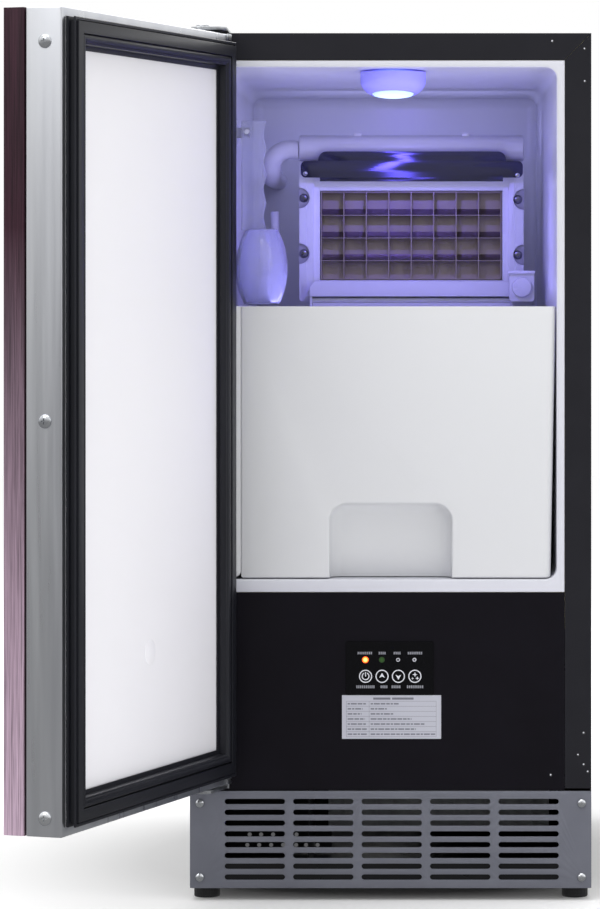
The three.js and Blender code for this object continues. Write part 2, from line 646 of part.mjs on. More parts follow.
function iceBin() {
  const ring = (z, grow) => {
    const draft = (BIN.top - z) * BIN_DRAFT;
    const left = BIN.left - grow; // this wall is upright, along the guide strip
    const right = BIN.right - draft + grow;
    const front = BIN.front - grow;
    const back = BIN.back - draft + grow;
    return [[left, front, z], [right, front, z], [right - BIN_PLAN_TAPER, back, z], [left, back, z]];
  };
  const outer = loft([ring(BIN.bottom, -3), ring(BIN.bottom + 4, 0), ring(BIN.top, 0)]);
  const inner = loft([ring(BIN.bottom + BIN_WALL, -BIN_WALL), ring(BIN.top + 5, -BIN_WALL)]);
  const grip = (grow) => block([-GRIP.half - grow, GRIP.half + grow], [-20, BIN.front + GRIP.depth + grow],
    [250, GRIP.top + grow]);
  const rim = polygon([[14, BIN.top + 10], [60, BIN.rim], [BIN.back + 20, BIN.rim], [BIN.back + 20, BIN.top + 10]]);
  return cut(outer, grip(0), cut(inner, grip(BIN_WALL)), prism(rim, "x", -200, 200));
}

// ---- assembly ----
part("side_panel_left", sidePanel(-1), "shellPaint");
part("side_panel_right", sidePanel(1), "shellPaint");
part("top_panel", topPanel(), "shellPaint");
part("back_panel", block([-HALF, HALF], [DEPTH - SHEET, DEPTH], [FOAM_BOTTOM, HEIGHT]), "zinc");
part("rear_service_cover", rearCover(), "zinc");
part("base_pan", basePan(), "zinc");
part("insulation_foam", foamBlock(), "foam");
part("liner", linerShell(), "linerPlastic");
part("bin_guide_strip", guideStrip(), "linerPlastic");
part("front_lower_panel", lowerPanel(), "blackPaint");
part("control_overlay", overlay(), "gloss");
part("indicator_light_pipe", lightPipe(), "lightPipe");
part("legend_label", block(LEGEND.x, [-GAP - LEGEND.thick, -GAP], LEGEND.z), "label");
part("kick_grille", kickGrille(), "greySheet");
["power", "up", "down", "clean"].forEach((use, i) => part(`button_${use}`, button(PANEL_BUTTON_X[i]), "gloss"));
[-1, 1].forEach((side) => {
  const name = side < 0 ? "left" : "right";
  part(`grille_screw_${name}_top`, grilleScrew(side * GRILLE_SCREW.x, GRILLE_SCREW.z[0]), "zinc");
  part(`grille_screw_${name}_bottom`, grilleScrew(side * GRILLE_SCREW.x, GRILLE_SCREW.z[1]), "zinc");
  part(`foot_front_${name}`, foot(side * FOOT_X, FOOT_Y[0]), "blackPlastic");
  part(`foot_back_${name}`, foot(side * FOOT_X, FOOT_Y[1]), "blackPlastic");
});
part("top_hinge_bracket", topBracket(), "zinc");
part("top_hinge_pin", topPin(), "zinc");
part("bottom_hinge_bracket", bottomBracket(), "zinc");
part("lamp_housing", lampHousing(LAMP.x, LAMP.y), "whitePlastic");
part("lamp_lens", lampLens(LAMP.x, LAMP.y), "lens");
part("evaporator_frame", evaporatorFrame(), "whitePlastic");
part("evaporator_grid", evaporatorGrid(), "cellPlate");
part("evaporator_rear_cover", block([-90, 126], [ICE.y + 27 + GAP, 312], [560, 690]), "foam");
part("distributor_tube", distributorTube(), "whitePlastic");
part("distributor_hose", distributorHose(), "whitePlastic");
part("splash_bar", splashBar(), "darkSteel");
part("water_tray", waterTray(), "whitePlastic");
part("ice_flap", iceFlap(), "whitePlastic");
part("flap_switch_box", switchBox(), "whitePlastic");
part("sump", sump(), "whitePlastic");
part("circulation_pump", circulationPump(), "blackPlastic");
part("scoop", scoop(), "clear");
part("scoop_hook", scoopHook(), "whitePlastic");
part("compressor", compressor(), "blackPaint");
part("condenser_coil", condenserCoil(), "copper");
part("fan_bracket", fanBracket(), "zinc");
part("fan_motor", fanMotor(), "blackPlastic");
part("fan_blade", fanBlade(), "blackPlastic");
part("drain_pump", drainPump(), "blackPlastic");
part("water_valve", waterValve(), "whitePlastic");
part("mains_inlet", mainsInlet(), "blackPlastic");
part("air_divider", block([-77.6, -76.4], [20, 300], [16, 246]), "zinc");
part("ice_bin", iceBin(), "whitePlastic");

home = door;
part("door_pan", doorPan(), "steel");
part("door_foam", doorFoam(), "foam");
part("door_inner_panel", innerPanel(), "whitePlastic");
part("door_gasket", gasket(), "rubber");
part("door_wood_panel", woodPanel(), "wood");
door.position.set(HINGE.x, HINGE.y, 0);
door.rotation.z = -DOOR_OPEN;
cabinet.add(door);

const machine = new THREE.Group();
machine.add(cabinet);
machine.updateMatrixWorld(true);
const extent = new THREE.Box3().setFromObject(machine, true);
cabinet.position.set(-(extent.min.x + extent.max.x) / 2, -(extent.min.y + extent.max.y) / 2, -extent.min.z);

export default machine;
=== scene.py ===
# Under-counter ice maker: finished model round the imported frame.
import json
import math

import bpy
from mathutils import Matrix, Vector


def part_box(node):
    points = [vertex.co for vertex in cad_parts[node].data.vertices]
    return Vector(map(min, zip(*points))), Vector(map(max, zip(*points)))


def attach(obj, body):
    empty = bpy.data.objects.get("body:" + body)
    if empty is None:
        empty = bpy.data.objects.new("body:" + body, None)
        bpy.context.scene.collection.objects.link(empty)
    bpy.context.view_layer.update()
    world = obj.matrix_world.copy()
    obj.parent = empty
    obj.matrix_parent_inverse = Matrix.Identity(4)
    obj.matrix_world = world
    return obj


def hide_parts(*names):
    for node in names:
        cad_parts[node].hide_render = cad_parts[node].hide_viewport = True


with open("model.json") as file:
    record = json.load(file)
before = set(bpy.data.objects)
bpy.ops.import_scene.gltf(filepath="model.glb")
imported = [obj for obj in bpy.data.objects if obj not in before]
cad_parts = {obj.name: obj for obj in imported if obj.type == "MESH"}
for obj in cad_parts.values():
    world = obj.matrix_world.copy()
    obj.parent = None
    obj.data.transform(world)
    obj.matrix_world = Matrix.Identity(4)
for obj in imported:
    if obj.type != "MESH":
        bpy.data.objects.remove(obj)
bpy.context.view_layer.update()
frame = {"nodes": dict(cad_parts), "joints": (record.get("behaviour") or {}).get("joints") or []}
nodes = frame["nodes"]
print("frame loaded:", len(nodes), "nodes")

# Sizes below are in millimetres, measured from the cabinet: x from its centre line, y back from its
# front plane, z up from the floor. Door sizes are measured from the hinge axis with the door shut.
casePanels = {"left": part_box("side_panel_left"), "right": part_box("side_panel_right")}
centreX = (casePanels["left"][0].x + casePanels["right"][1].x) / 2
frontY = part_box("front_lower_panel")[0].y
doorJoint = next(j for j in frame["joints"] if j["name"] == "door_hinge")
doorAngle = math.radians(doorJoint["range_deg"][0])  # from shut to rest, clockwise from above
hingeAxis = Vector((doorJoint["pos_m"][0], doorJoint["pos_m"][1], 0))


def mm(x, y, z):
    return Vector((x, y, z)) / 1000


def place(x, y, z):
    return Vector((centreX, frontY, 0)) + mm(x, y, z)


def nodeBox(name):
    low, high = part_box(name)
    return [[(c[0] - centreX) * 1000, (c[1] - frontY) * 1000, c[2] * 1000] for c in (low, high)]


def deselectAll():
    if bpy.context.object and bpy.context.object.mode != "OBJECT":
        bpy.ops.object.mode_set(mode="OBJECT")
    bpy.ops.object.select_all(action="DESELECT")


def only(piece):
    deselectAll()
    piece.select_set(True)
    bpy.context.view_layer.objects.active = piece


def settle(piece):
    only(piece)
    bpy.ops.object.transform_apply(location=True, rotation=True, scale=True)
    return piece


def startBlock(name, low, high):
    low, high = Vector(low) / 1000, Vector(high) / 1000
    deselectAll()
    bpy.ops.mesh.primitive_cube_add(size=1, location=(low + high) / 2)
    piece = bpy.context.object
    piece.name = name
    piece.scale = high - low
    return settle(piece)


def pick(piece, test, what="FACE"):
    only(piece)
    bpy.ops.object.mode_set(mode="EDIT")
    bpy.ops.mesh.select_mode(type=what)
    bpy.ops.mesh.select_all(action="DESELECT")
    bpy.ops.object.mode_set(mode="OBJECT")
    mesh = piece.data
    if what == "FACE":
        for face in mesh.polygons:
            face.select = test(face.center * 1000, face.normal)
    elif what == "EDGE":
        for edge in mesh.edges:
            a, b = (mesh.vertices[i].co * 1000 for i in edge.vertices)
            edge.select = test(a, b)
    else:
        for vertex in mesh.vertices:
            vertex.select = test(vertex.co * 1000)
    bpy.ops.object.mode_set(mode="EDIT")


def done(piece):
    bpy.ops.object.mode_set(mode="OBJECT")
    return piece


def roundPicked(piece, test, radius, segments=4):
    pick(piece, test, "EDGE")
    bpy.ops.mesh.bevel(offset=radius / 1000, segments=segments, profile=0.5, affect="EDGES")
    return done(piece)


def alongAxis(axis, tolerance=0.5):
    others = [i for i in range(3) if i != axis]
    return lambda a, b: all(abs(a[i] - b[i]) < tolerance for i in others) and abs(a[axis] - b[axis]) > 1


def applyAll(piece):
    only(piece)
    for modifier in list(piece.modifiers):
        bpy.ops.object.modifier_apply(modifier=modifier.name)
    return piece


def softEdges(piece, width, segments=2, angle=35):
    bevel = piece.modifiers.new("edge", "BEVEL")
    bevel.width = width / 1000
    bevel.segments = segments
    bevel.limit_method = "ANGLE"
    bevel.angle_limit = math.radians(angle)
    bevel.miter_outer = "MITER_ARC"
    return applyAll(piece)


def carve(piece, tool, operation="DIFFERENCE", solver="EXACT"):
    boolean = piece.modifiers.new("cut", "BOOLEAN")
    boolean.operation = operation
    boolean.solver = solver
    boolean.object = tool
    applyAll(piece)
    bpy.data.objects.remove(tool)
    return piece


def joined(name, pieces):
    deselectAll()
    for piece in pieces:
        piece.select_set(True)
    bpy.context.view_layer.objects.active = pieces[0]
    bpy.ops.object.join()
    pieces[0].name = name
    return pieces[0]


def copyOf(piece, name, shift=(0, 0, 0)):
    only(piece)
    bpy.ops.object.duplicate(linked=False)
    twin = bpy.context.object
    twin.name = name
    twin.location = Vector(shift) / 1000
    return settle(twin)


def cleanUp(piece, gap=0.001):
    pick(piece, lambda co: True, "VERT")
    bpy.ops.mesh.remove_doubles(threshold=gap / 1000)
    bpy.ops.mesh.normals_make_consistent(inside=False)
    return done(piece)


def moved(piece, position, turn=(0, 0, 0)):
    piece.rotation_euler = [math.radians(a) for a in turn]
    piece.location = position
    return settle(piece)


def disc(name, radius, low, high, sides=40):
    return turned(name, [(radius, low), (radius, high)], sides)


def turned(name, profile, sides=40):
    # a ring is extruded and scaled from each [radius, height] to the next, about the Z axis
    deselectAll()
    r, h = profile[0]
    bpy.ops.mesh.primitive_circle_add(vertices=sides, radius=r / 1000, fill_type="NGON", location=(0, 0, h / 1000))
    piece = settle(bpy.context.object)
    piece.name = name
    bpy.ops.object.mode_set(mode="EDIT")
    bpy.ops.mesh.select_mode(type="FACE")
    bpy.ops.mesh.select_all(action="SELECT")
    for nextR, nextH in profile[1:]:
        bpy.ops.mesh.extrude_region_move(TRANSFORM_OT_translate={"value": (0, 0, (nextH - h) / 1000)})
        scale = nextR / r
        bpy.ops.transform.resize(value=(scale, scale, 1), center_override=(0, 0, nextH / 1000))
        r, h = nextR, nextH
    done(piece)
    return cleanUp(piece, 0.0005)


def sweptFrame(name, across, up, base, profile):
    # a rectangular loop of edges is extruded inwards step by step: [inset, height] from the outer edge
    deselectAll()
    width, height = across[1] - across[0], up[1] - up[0]
    centre = mm((across[0] + across[1]) / 2, base, (up[0] + up[1]) / 2)
    bpy.ops.mesh.primitive_plane_add(size=1, location=centre, rotation=(math.pi / 2, 0, 0))
    piece = bpy.context.object
    piece.name = name
    piece.scale = (width / 1000, height / 1000, 1)
    settle(piece)
    bpy.ops.object.mode_set(mode="EDIT")
    bpy.ops.mesh.select_all(action="SELECT")
    bpy.ops.mesh.delete(type="ONLY_FACE")
    bpy.ops.mesh.select_mode(type="EDGE")
    bpy.ops.mesh.select_all(action="SELECT")
    inset, level = 0, 0
    for nextInset, nextLevel in profile + [(0, 0)]:
        bpy.ops.mesh.extrude_edges_move(TRANSFORM_OT_translate={"value": mm(0, nextLevel - level, 0)})
        wider = (width - 2 * nextInset) / (width - 2 * inset)
        taller = (height - 2 * nextInset) / (height - 2 * inset)
        middle = (centre.x, (base + nextLevel) / 1000, centre.z)
        bpy.ops.transform.resize(value=(wider, 1, taller), center_override=middle)
        inset, level = nextInset, nextLevel
    done(piece)
    return cleanUp(piece)


def tube(name, points, radius, sides=10):
    # a round hose along a smooth curve through given points
    deselectAll()
    bpy.ops.curve.primitive_nurbs_path_add()
    path = bpy.context.object
    path.name = name
    curve = path.data
    curve.splines.clear()
    spline = curve.splines.new("BEZIER")
    spline.bezier_points.add(len(points) - 1)
    for spot, point in zip(spline.bezier_points, points):
        spot.co = Vector(point) / 1000
        spot.handle_left_type = spot.handle_right_type = "AUTO"
    curve.bevel_depth = radius / 1000
    curve.bevel_resolution = sides
    curve.resolution_u = 10
    curve.use_fill_caps = True
    path.location = (0, 0, 0)
    only(path)
    bpy.ops.object.convert(target="MESH")
    return cleanUp(settle(bpy.context.object), 0.01)


def toCabinet(piece):
    return moved(piece, place(0, 0, 0))


def toDoor(piece):
    piece.rotation_euler = (0, 0, doorAngle)
    piece.location = hingeAxis
    return settle(piece)


def screwHead(name, radius, height):
    # domed pan head with a small cross recess, standing up along Z
    dome = [(1, 0), (1, 0.2), (0.93, 0.45), (0.78, 0.7), (0.55, 0.9), (0.28, 0.98)]
    head = turned(name, [(0.01, 0)] + [(radius * r, height * h) for r, h in dome] + [(0.02, height)], 32)
    halfSlot, reach = radius * 0.08, radius * 0.42
    for x, y in ((reach, halfSlot), (halfSlot, reach)):
        carve(head, startBlock("bar", (-x, -y, height * 0.4), (x, y, height * 2)))
    return head


# buttons and indicator lamps on the control overlay
controls = {"buttonX": (-23.3, -8.0, 7.2, 22.5), "buttonZ": 208.3, "ringRadius": 6.2, "ringLine": 0.95,
            "lampX": (-23.5, -8.2, 6.9, 22.1), "lampZ": 223.6, "lampRadius": (5.1, 4.2, 1.6, 1.4),
            "halo": 5.2, "face": -1.1}


def hexColour(text):
    channels = [int(text[i:i + 2], 16) / 255 for i in (0, 2, 4)]
    linear = [c / 12.92 if c <= 0.04045 else ((c + 0.055) / 1.055) ** 2.4 for c in channels]
    return (*linear, 1)


def addNode(tree, kind, settings=None, links=None):
    node = tree.nodes.new(kind)
    for name, value in (settings or {}).items():
        if isinstance(name, int) or name in node.inputs:
            node.inputs[name].default_value = value
        else:
            setattr(node, name, value)
    for name, source in (links or {}).items():
        tree.links.new(source, node.inputs[name])
    return node


def newMaterial(name, **settings):
    made = bpy.data.materials.new(name)
    made.use_nodes = True
    shader = made.node_tree.nodes["Principled BSDF"]
    for key, value in settings.items():
        shader.inputs[key.replace("_", " ")].default_value = value
    coords = made.node_tree.nodes.new("ShaderNodeTexCoord")
    return made, made.node_tree, shader, coords.outputs["Object"]


def tintNoise(tree, shader, coords, dark, light, patchMm, detail=3, stretch=(1, 1, 1)):
    # colour that drifts between two close tones, over patches of a real size
    mapping = addNode(tree, "ShaderNodeMapping", {"Scale": stretch}, {"Vector": coords})
    noise = addNode(tree, "ShaderNodeTexNoise", {"Scale": 1000 / patchMm, "Detail": detail,
                                                 "Roughness": 0.55}, {"Vector": mapping.outputs[0]})
    ramp = addNode(tree, "ShaderNodeValToRGB", None, {"Fac": noise.outputs["Fac"]})
    ramp.color_ramp.elements[0].color = hexColour(dark)
    ramp.color_ramp.elements[0].position = 0.3
    ramp.color_ramp.elements[1].color = hexColour(light)
    ramp.color_ramp.elements[1].position = 0.7
    tree.links.new(ramp.outputs["Color"], shader.inputs["Base Color"])
    return noise


def mapRange(low, high, fromLow=0.3, fromHigh=0.7):
    return {"From Min": fromLow, "From Max": fromHigh, "To Min": low, "To Max": high}


def roughNoise(tree, shader, coords, low, high, patchMm, stretch=(1, 1, 1)):
    mapping = addNode(tree, "ShaderNodeMapping", {"Scale": stretch}, {"Vector": coords})
    noise = addNode(tree, "ShaderNodeTexNoise", {"Scale": 1000 / patchMm, "Detail": 4},
                    {"Vector": mapping.outputs[0]})
    spread = addNode(tree, "ShaderNodeMapRange", mapRange(low, high), {"Value": noise.outputs["Fac"]})
    tree.links.new(spread.outputs[0], shader.inputs["Roughness"])
    return noise


def fineBump(tree, shader, coords, grainMm, heightMm, strength=1.0, stretch=(1, 1, 1)):
    # grain size in millimetres becomes a noise scale in waves per metre
    mapping = addNode(tree, "ShaderNodeMapping", {"Scale": stretch}, {"Vector": coords})
    noise = addNode(tree, "ShaderNodeTexNoise", {"Scale": 1000 / grainMm, "Detail": 2},
                    {"Vector": mapping.outputs[0]})
    bump = addNode(tree, "ShaderNodeBump", {"Strength": strength, "Distance": heightMm / 1000},
                   {"Height": noise.outputs["Fac"]})
    tree.links.new(bump.outputs[0], shader.inputs["Normal"])
    return bump


materials = {}


def paintedSteel(name, dark, light, rough, grain, shine):
    # powder coat over steel sheet: a faint orange peel breaks up the soft reflections
    made, tree, shader, coords = newMaterial(name, IOR=1.5, Specular_IOR_Level=shine)
    tintNoise(tree, shader, coords, dark, light, 45.5)
    roughNoise(tree, shader, coords, rough - 0.03, rough + 0.04, 16.7)
    fineBump(tree, shader, coords, grain, 0.02)
    return made


def bareMetal(name, dark, light, rough, stretch, grain=0.6, height=0.006):
    # metal with drawn or brushed streaks: the stretch vector sets their direction
    made, tree, shader, coords = newMaterial(name, Metallic=1.0)
    tintNoise(tree, shader, coords, dark, light, 25, 4, stretch)
    roughNoise(tree, shader, coords, rough - 0.07, rough + 0.08, 6.25, stretch)
    fineBump(tree, shader, coords, grain, height, 0.6, stretch)
    return made


def mouldedPlastic(name, dark, light, rough, grain=1.2, height=0.01, **more):
    # injection-moulded part: even colour, a little cloudy, with a very fine skin texture
    made, tree, shader, coords = newMaterial(name, IOR=1.52, **more)
    tintNoise(tree, shader, coords, dark, light, 250, 2)
    roughNoise(tree, shader, coords, rough - 0.01, rough + 0.02, 83)
    fineBump(tree, shader, coords, grain, height, 0.5)
    return made


grainSizes = {"bandMm": 100 / 7, "poreMm": 10 / 9, "poreDeepMm": 0.06, "sheenAbove": 0.12, "sheenBelow": 0.62}


def colourRamp(tree, source, low, high):
    ramp = addNode(tree, "ShaderNodeValToRGB", None, {"Fac": source})
    for stop, (position, tone) in zip(ramp.color_ramp.elements, (low, high)):
        stop.position = position
        stop.color = hexColour(tone)
    return ramp.outputs["Color"]


def veneer(name, sheenAmount):
    # dark-stained straight-grained veneer under satin lacquer: fine vertical pores, slow colour bands, and a
    # painted pinkish sheen that grows towards the foot of the door
    made, tree, shader, coords = newMaterial(name, IOR=1.5, Specular_IOR_Level=0.15)
    band = addNode(tree, "ShaderNodeMapping", {"Scale": (1, 1, 0.03)}, {"Vector": coords})
    slow = addNode(tree, "ShaderNodeTexNoise", {"Scale": 1000 / grainSizes["bandMm"], "Detail": 5,
                                                "Roughness": 0.6, "Distortion": 0.6},
                   {"Vector": band.outputs[0]})
    stain = colourRamp(tree, slow.outputs["Fac"], (0.28, "2C1923"), (0.74, "442733"))
    stretched = addNode(tree, "ShaderNodeMapping", {"Scale": (1, 1, 0.012)}, {"Vector": coords})
    pores = addNode(tree, "ShaderNodeTexNoise", {"Scale": 1000 / grainSizes["poreMm"], "Detail": 3,
                                                 "Roughness": 0.7}, {"Vector": stretched.outputs[0]})
    poreShade = colourRamp(tree, pores.outputs["Fac"], (0.35, "8C8C8C"), (0.6, "FFFFFF"))
    height = addNode(tree, "ShaderNodeSeparateXYZ", None, {"Vector": coords})
    # painted sheen: the colour is mixed towards a pale pink towards the foot of the door
    span = mapRange(0.0, sheenAmount, grainSizes["sheenBelow"], grainSizes["sheenAbove"])
    sheenFade = addNode(tree, "ShaderNodeMapRange", span, {"Value": height.outputs["Z"]})
    sheenMix = addNode(tree, "ShaderNodeMix", {"data_type": "RGBA", 7: hexColour("C2A9BC")},
                   {0: sheenFade.outputs[0], 6: stain})
    mix = addNode(tree, "ShaderNodeMix", {"data_type": "RGBA", "blend_type": "MULTIPLY", 0: 0.8},
                  {6: sheenMix.outputs[2], 7: poreShade})
    tree.links.new(mix.outputs[2], shader.inputs["Base Color"])
    roughNoise(tree, shader, coords, 0.38, 0.52, 5, (1, 1, 0.05))
    bump = addNode(tree, "ShaderNodeBump", {"Strength": 0.5, "Distance": grainSizes["poreDeepMm"] / 1000},
                   {"Height": pores.outputs["Fac"]})
    tree.links.new(bump.outputs[0], shader.inputs["Normal"])
    return made


def glow(name, colour, strength, base="FFFFFF"):
    # a lit part: an even emission with a plastic skin
    made, tree, shader, coords = newMaterial(name, Roughness=0.3, Emission_Color=hexColour(colour),
                                             Emission_Strength=strength, Base_Color=hexColour(base))
    fineBump(tree, shader, coords, 1.5, 0.01, 0.3)
    return made


def lampGlow(name, index, tones, strength):
    # small lamp behind a hole: hot in the middle, deep colour and a faint halo at its rim
    made, tree, shader, coords = newMaterial(name, Roughness=0.3, Base_Color=hexColour("101014"),
                                             Emission_Strength=strength)
    middle = place(controls["lampX"][index], controls["face"], controls["lampZ"])
    size = 1000 / controls["halo"]
    centred = addNode(tree, "ShaderNodeMapping", {"Location": [-c * size for c in middle],
                                                  "Scale": [size] * 3}, {"Vector": coords})
    ball = addNode(tree, "ShaderNodeTexGradient", {"gradient_type": "SPHERICAL"},
                   {"Vector": centred.outputs[0]})
    ramp = addNode(tree, "ShaderNodeValToRGB", None, {"Fac": ball.outputs["Fac"]})
    stops = ramp.color_ramp.elements
    stops[0].color = (0, 0, 0, 1)
    stops[1].position, stops[1].color = 1, hexColour(tones[2])
    for position, tone in ((0.38, "200400" if index == 0 else "040A02"), (0.47, tones[0]), (0.56, tones[1])):
        stops.new(position).color = hexColour(tone)
    tree.links.new(ramp.outputs["Color"], shader.inputs["Emission Color"])
    return made


def lensGlow():
    # frosted lens over the lamps: almost white in the middle, blue towards its rim
    made, tree, shader, coords = newMaterial("frostedLampLens", Roughness=0.35, Emission_Strength=0.95,
                                             Base_Color=hexColour("C8E4FF"))
    low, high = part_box("lamp_lens")
    middle = (low + high) / 2
    centred = addNode(tree, "ShaderNodeMapping", {"Location": (-middle.x, -middle.y, -low.z)},
                      {"Vector": coords})
    scaled = addNode(tree, "ShaderNodeMapping", {"Scale": (38, 38, 38)}, {"Vector": centred.outputs[0]})
    ball = addNode(tree, "ShaderNodeTexGradient", {"gradient_type": "SPHERICAL"},
                   {"Vector": scaled.outputs[0]})
    tree.links.new(colourRamp(tree, ball.outputs["Fac"], (0, "5A6CFF"), (0.6, "DDF6FF")),
                   shader.inputs["Emission Color"])
    return made


def clearPlastic():
    # clear styrene: you see through it, with bright rims and a soft haze
    made, tree, shader, coords = newMaterial("clearStyrene", IOR=1.45, Transmission_Weight=0.76,
                                             Roughness=0.07, Base_Color=hexColour("E6E8FA"),
                                             Specular_IOR_Level=0.7)
    fineBump(tree, shader, coords, 14, 0.15, 0.35)
    return made


def brushedGuard():
    # polished stainless strip with a brushed grain that smears the lamps' light
    made, tree, shader, coords = newMaterial("polishedStainless", Metallic=1.0, Roughness=0.24,
                                             Anisotropic=0.97, Base_Color=hexColour("50506A"))
    tangent = addNode(tree, "ShaderNodeCombineXYZ", {"Z": 1.0})
    tree.links.new(tangent.outputs[0], shader.inputs["Tangent"])
    fineBump(tree, shader, coords, 0.8, 0.001, 0.1, (0.05, 1, 1))
    return made


materials.update({
    "case": paintedSteel("blackPowderCoat", "1B1B21", "1E1E24", 0.5, 1.4, 0.22),
    "front": paintedSteel("satinBlackPaint", "110F15", "131118", 0.42, 1.1, 0.1),
    "grille": paintedSteel("greySatinPaint", "646670", "6B6D77", 0.42, 0.9, 0.35),
    "doorSteel": bareMetal("brushedDoorSteel", "D0D2D8", "DCDEE2", 0.33, (1, 1, 0.03), 1.6, 0.004),
    "zinc": bareMetal("zincPlatedSteel", "B6B9BD", "C0C3C6", 0.32, (1, 1, 1), 2.5, 0.01),
    "screw": bareMetal("brightScrewSteel", "C0C3C8", "D8DADD", 0.2, (1, 1, 1), 1.5, 0.003),
    "cells": bareMetal("tinPlatedCells", "9C9092", "A89D9F", 0.42, (1, 1, 0.2), 1.2, 0.002),
    "guard": brushedGuard(),
    "liner": mouldedPlastic("linerABS", "D0D1DA", "D3D4DD", 0.2),
    "bin": mouldedPlastic("binPolystyrene", "D3D4D7", "D6D7DA", 0.34, 2.5, 0.004),
    "white": mouldedPlastic("whiteABS", "CFD0D8", "D3D4DC", 0.34),
    "clampGrey": mouldedPlastic("greyNylonClamp", "8C8C96", "94949E", 0.45),
    "darkScrew": bareMetal("blackenedScrewSteel", "74747E", "868690", 0.3, (1, 1, 1), 1.5, 0.003),
    "doorPanel": mouldedPlastic("doorLinerStyrene", "ECEBEF", "EEEDF1", 0.6, 3, 0.004,
                                Specular_IOR_Level=0.2),
    "rubber": mouldedPlastic("gasketPVC", "191A20", "1E1F26", 0.36, 0.8, 0.004, Specular_IOR_Level=0.3),
    "blackPlastic": mouldedPlastic("blackNylon", "101014", "17171B", 0.45, 0.9, 0.02),
    "gloss": mouldedPlastic("controlFilm", "08080B", "0A0A0D", 0.16, 6, 0.004, Specular_IOR_Level=0.15),
    "print": mouldedPlastic("printedWhiteInk", "D2D3DA", "DADBE2", 0.5),
    "caption": mouldedPlastic("printedThinInk", "85868F", "8E8F98", 0.5),
    "ink": mouldedPlastic("printedGreyInk", "6C6D78", "767782", 0.6),
    "label": mouldedPlastic("labelFilm", "B4B5C0", "B9BAC5", 0.5),
    "lampBody": mouldedPlastic("translucentLampABS", "A8A6F0", "B0AEF4", 0.25,
                               Emission_Color=hexColour("4F46FF"), Emission_Strength=0.3),
    "lens": lensGlow(),
    "orange": lampGlow("orangeLamp", 0, ["FF3A08", "FF9A30", "FFD890"], 2.2),
    "green": lampGlow("dimGreenLamp", 1, ["0C2408", "2F5A1C", "3F7226"], 0.55),
    "lampOff": glow("unlitLamp", "000000", 0.0, "26272E"),
    # glowing grey for the dots behind the grille: painted light
    "vent": glow("lightThroughVents", "8E8E90", 0.35, "707074"),
    # painted sheen: the face board takes a little of it at its foot, the edge band all of it
    "wood": veneer("lacqueredDarkVeneer", 0.12),
    "woodEdge": veneer("lacqueredEdgeBand", 1.0),
    "clear": clearPlastic(),
    "foam": mouldedPlastic("rigidFoam", "D9CFA4", "E8DFB8", 0.85, 2.0, 0.2),
    "condenser": bareMetal("aluminiumFins", "9A9CA0", "B4B6BA", 0.4, (1, 1, 1)),
    "compressor": paintedSteel("blackEnamel", "0C0C0F", "121216", 0.3, 2.0, 0.3),
})
print("materials made:", len(materials))


def finishPiece(piece, body, look, slotName, replaced=(), smooth=30):
    only(piece)
    piece.data.materials.clear()
    piece.data.materials.append(materials[look])
    if smooth:
        bpy.ops.object.shade_smooth_by_angle(angle=math.radians(smooth))
    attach(piece, body)
    if replaced:
        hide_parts(*replaced)
    return piece


def fitCase(piece, *settings):
    return finishPiece(toCabinet(piece), "cabinet", *settings)


def fitDoor(piece, *settings):
    return finishPiece(toDoor(piece), "door", *settings)


def dress(look, *names):
    for name in names:
        node = nodes[name]
        if not node.data.materials:
            node.data.materials.append(None)
        for i in range(len(node.data.materials)):
            node.data.materials[i] = materials[look]


dress("case", "side_panel_left", "side_panel_right", "top_panel")
dress("zinc", "back_panel", "rear_service_cover", "bottom_hinge_bracket")
# base pan, fan bracket and air divider take the black enamel as painted shade, so the machine space reads dark
# through the grille
dress("compressor", "base_pan", "fan_bracket", "air_divider")
dress("foam", "insulation_foam", "evaporator_rear_cover", "door_foam")
dress("front", "front_lower_panel")
dress("white", "scoop_hook", "water_tray", "ice_flap", "sump", "water_valve", "indicator_light_pipe")
dress("blackPlastic", "circulation_pump", "drain_pump", "mains_inlet", "fan_blade")
dress("compressor", "compressor", "fan_motor")
dress("condenser", "condenser_coil")
dress("label", "legend_label")

spareHoles = {"spots": [(150.3, 798.6), (180.3, 791.5), (180.5, 761.3), (179.5, 155.5), (174.2, 135.1),
                        (179.5, 126.1), (183.3, 119.5), (148.9, 116.4)], "radius": 1.75}


def makeSparePlugs():
    # small dished plugs pressed into the spare hinge holes, each with a white disc a little off its centre as a
    # painted highlight
    plugs, spots = [], []
    r = spareHoles["radius"]
    for x, z in spareHoles["spots"]:
        plug = turned("plug", [(0.01, 0), (r, 0), (r, 1.0), (r * 0.8, 1.3), (r * 0.5, 1.0), (0.02, 0.9)], 16)
        plugs.append(moved(plug, mm(x, 1.2, z), (90, 0, 0)))
        # white disc set a little up and left of each plug's centre: painted highlight
        spot = turned("spot", [(0.01, 0), (r * 0.5, 0), (r * 0.35, 0.5), (0.02, 0.62)], 12)
        spots.append(moved(spot, mm(x - 0.2, 0.35, z + 0.3), (90, 0, 0)))
    fitCase(joined("spare_hole_plugs", plugs), "blackPlastic", "black_plastic")
    fitCase(joined("spare_hole_plug_highlights", spots), "white", "white_plastic")


makeSparePlugs()
print("case dressed")

liner = {"half": 154.4, "low": 298.4, "high": 774.3, "deep": 438.4, "taper": 6.8, "drop": 7.6, "corner": 10.5,
         "backCorner": 10.4, "wall": 2.5, "flange": 2, "lip": 2.2}


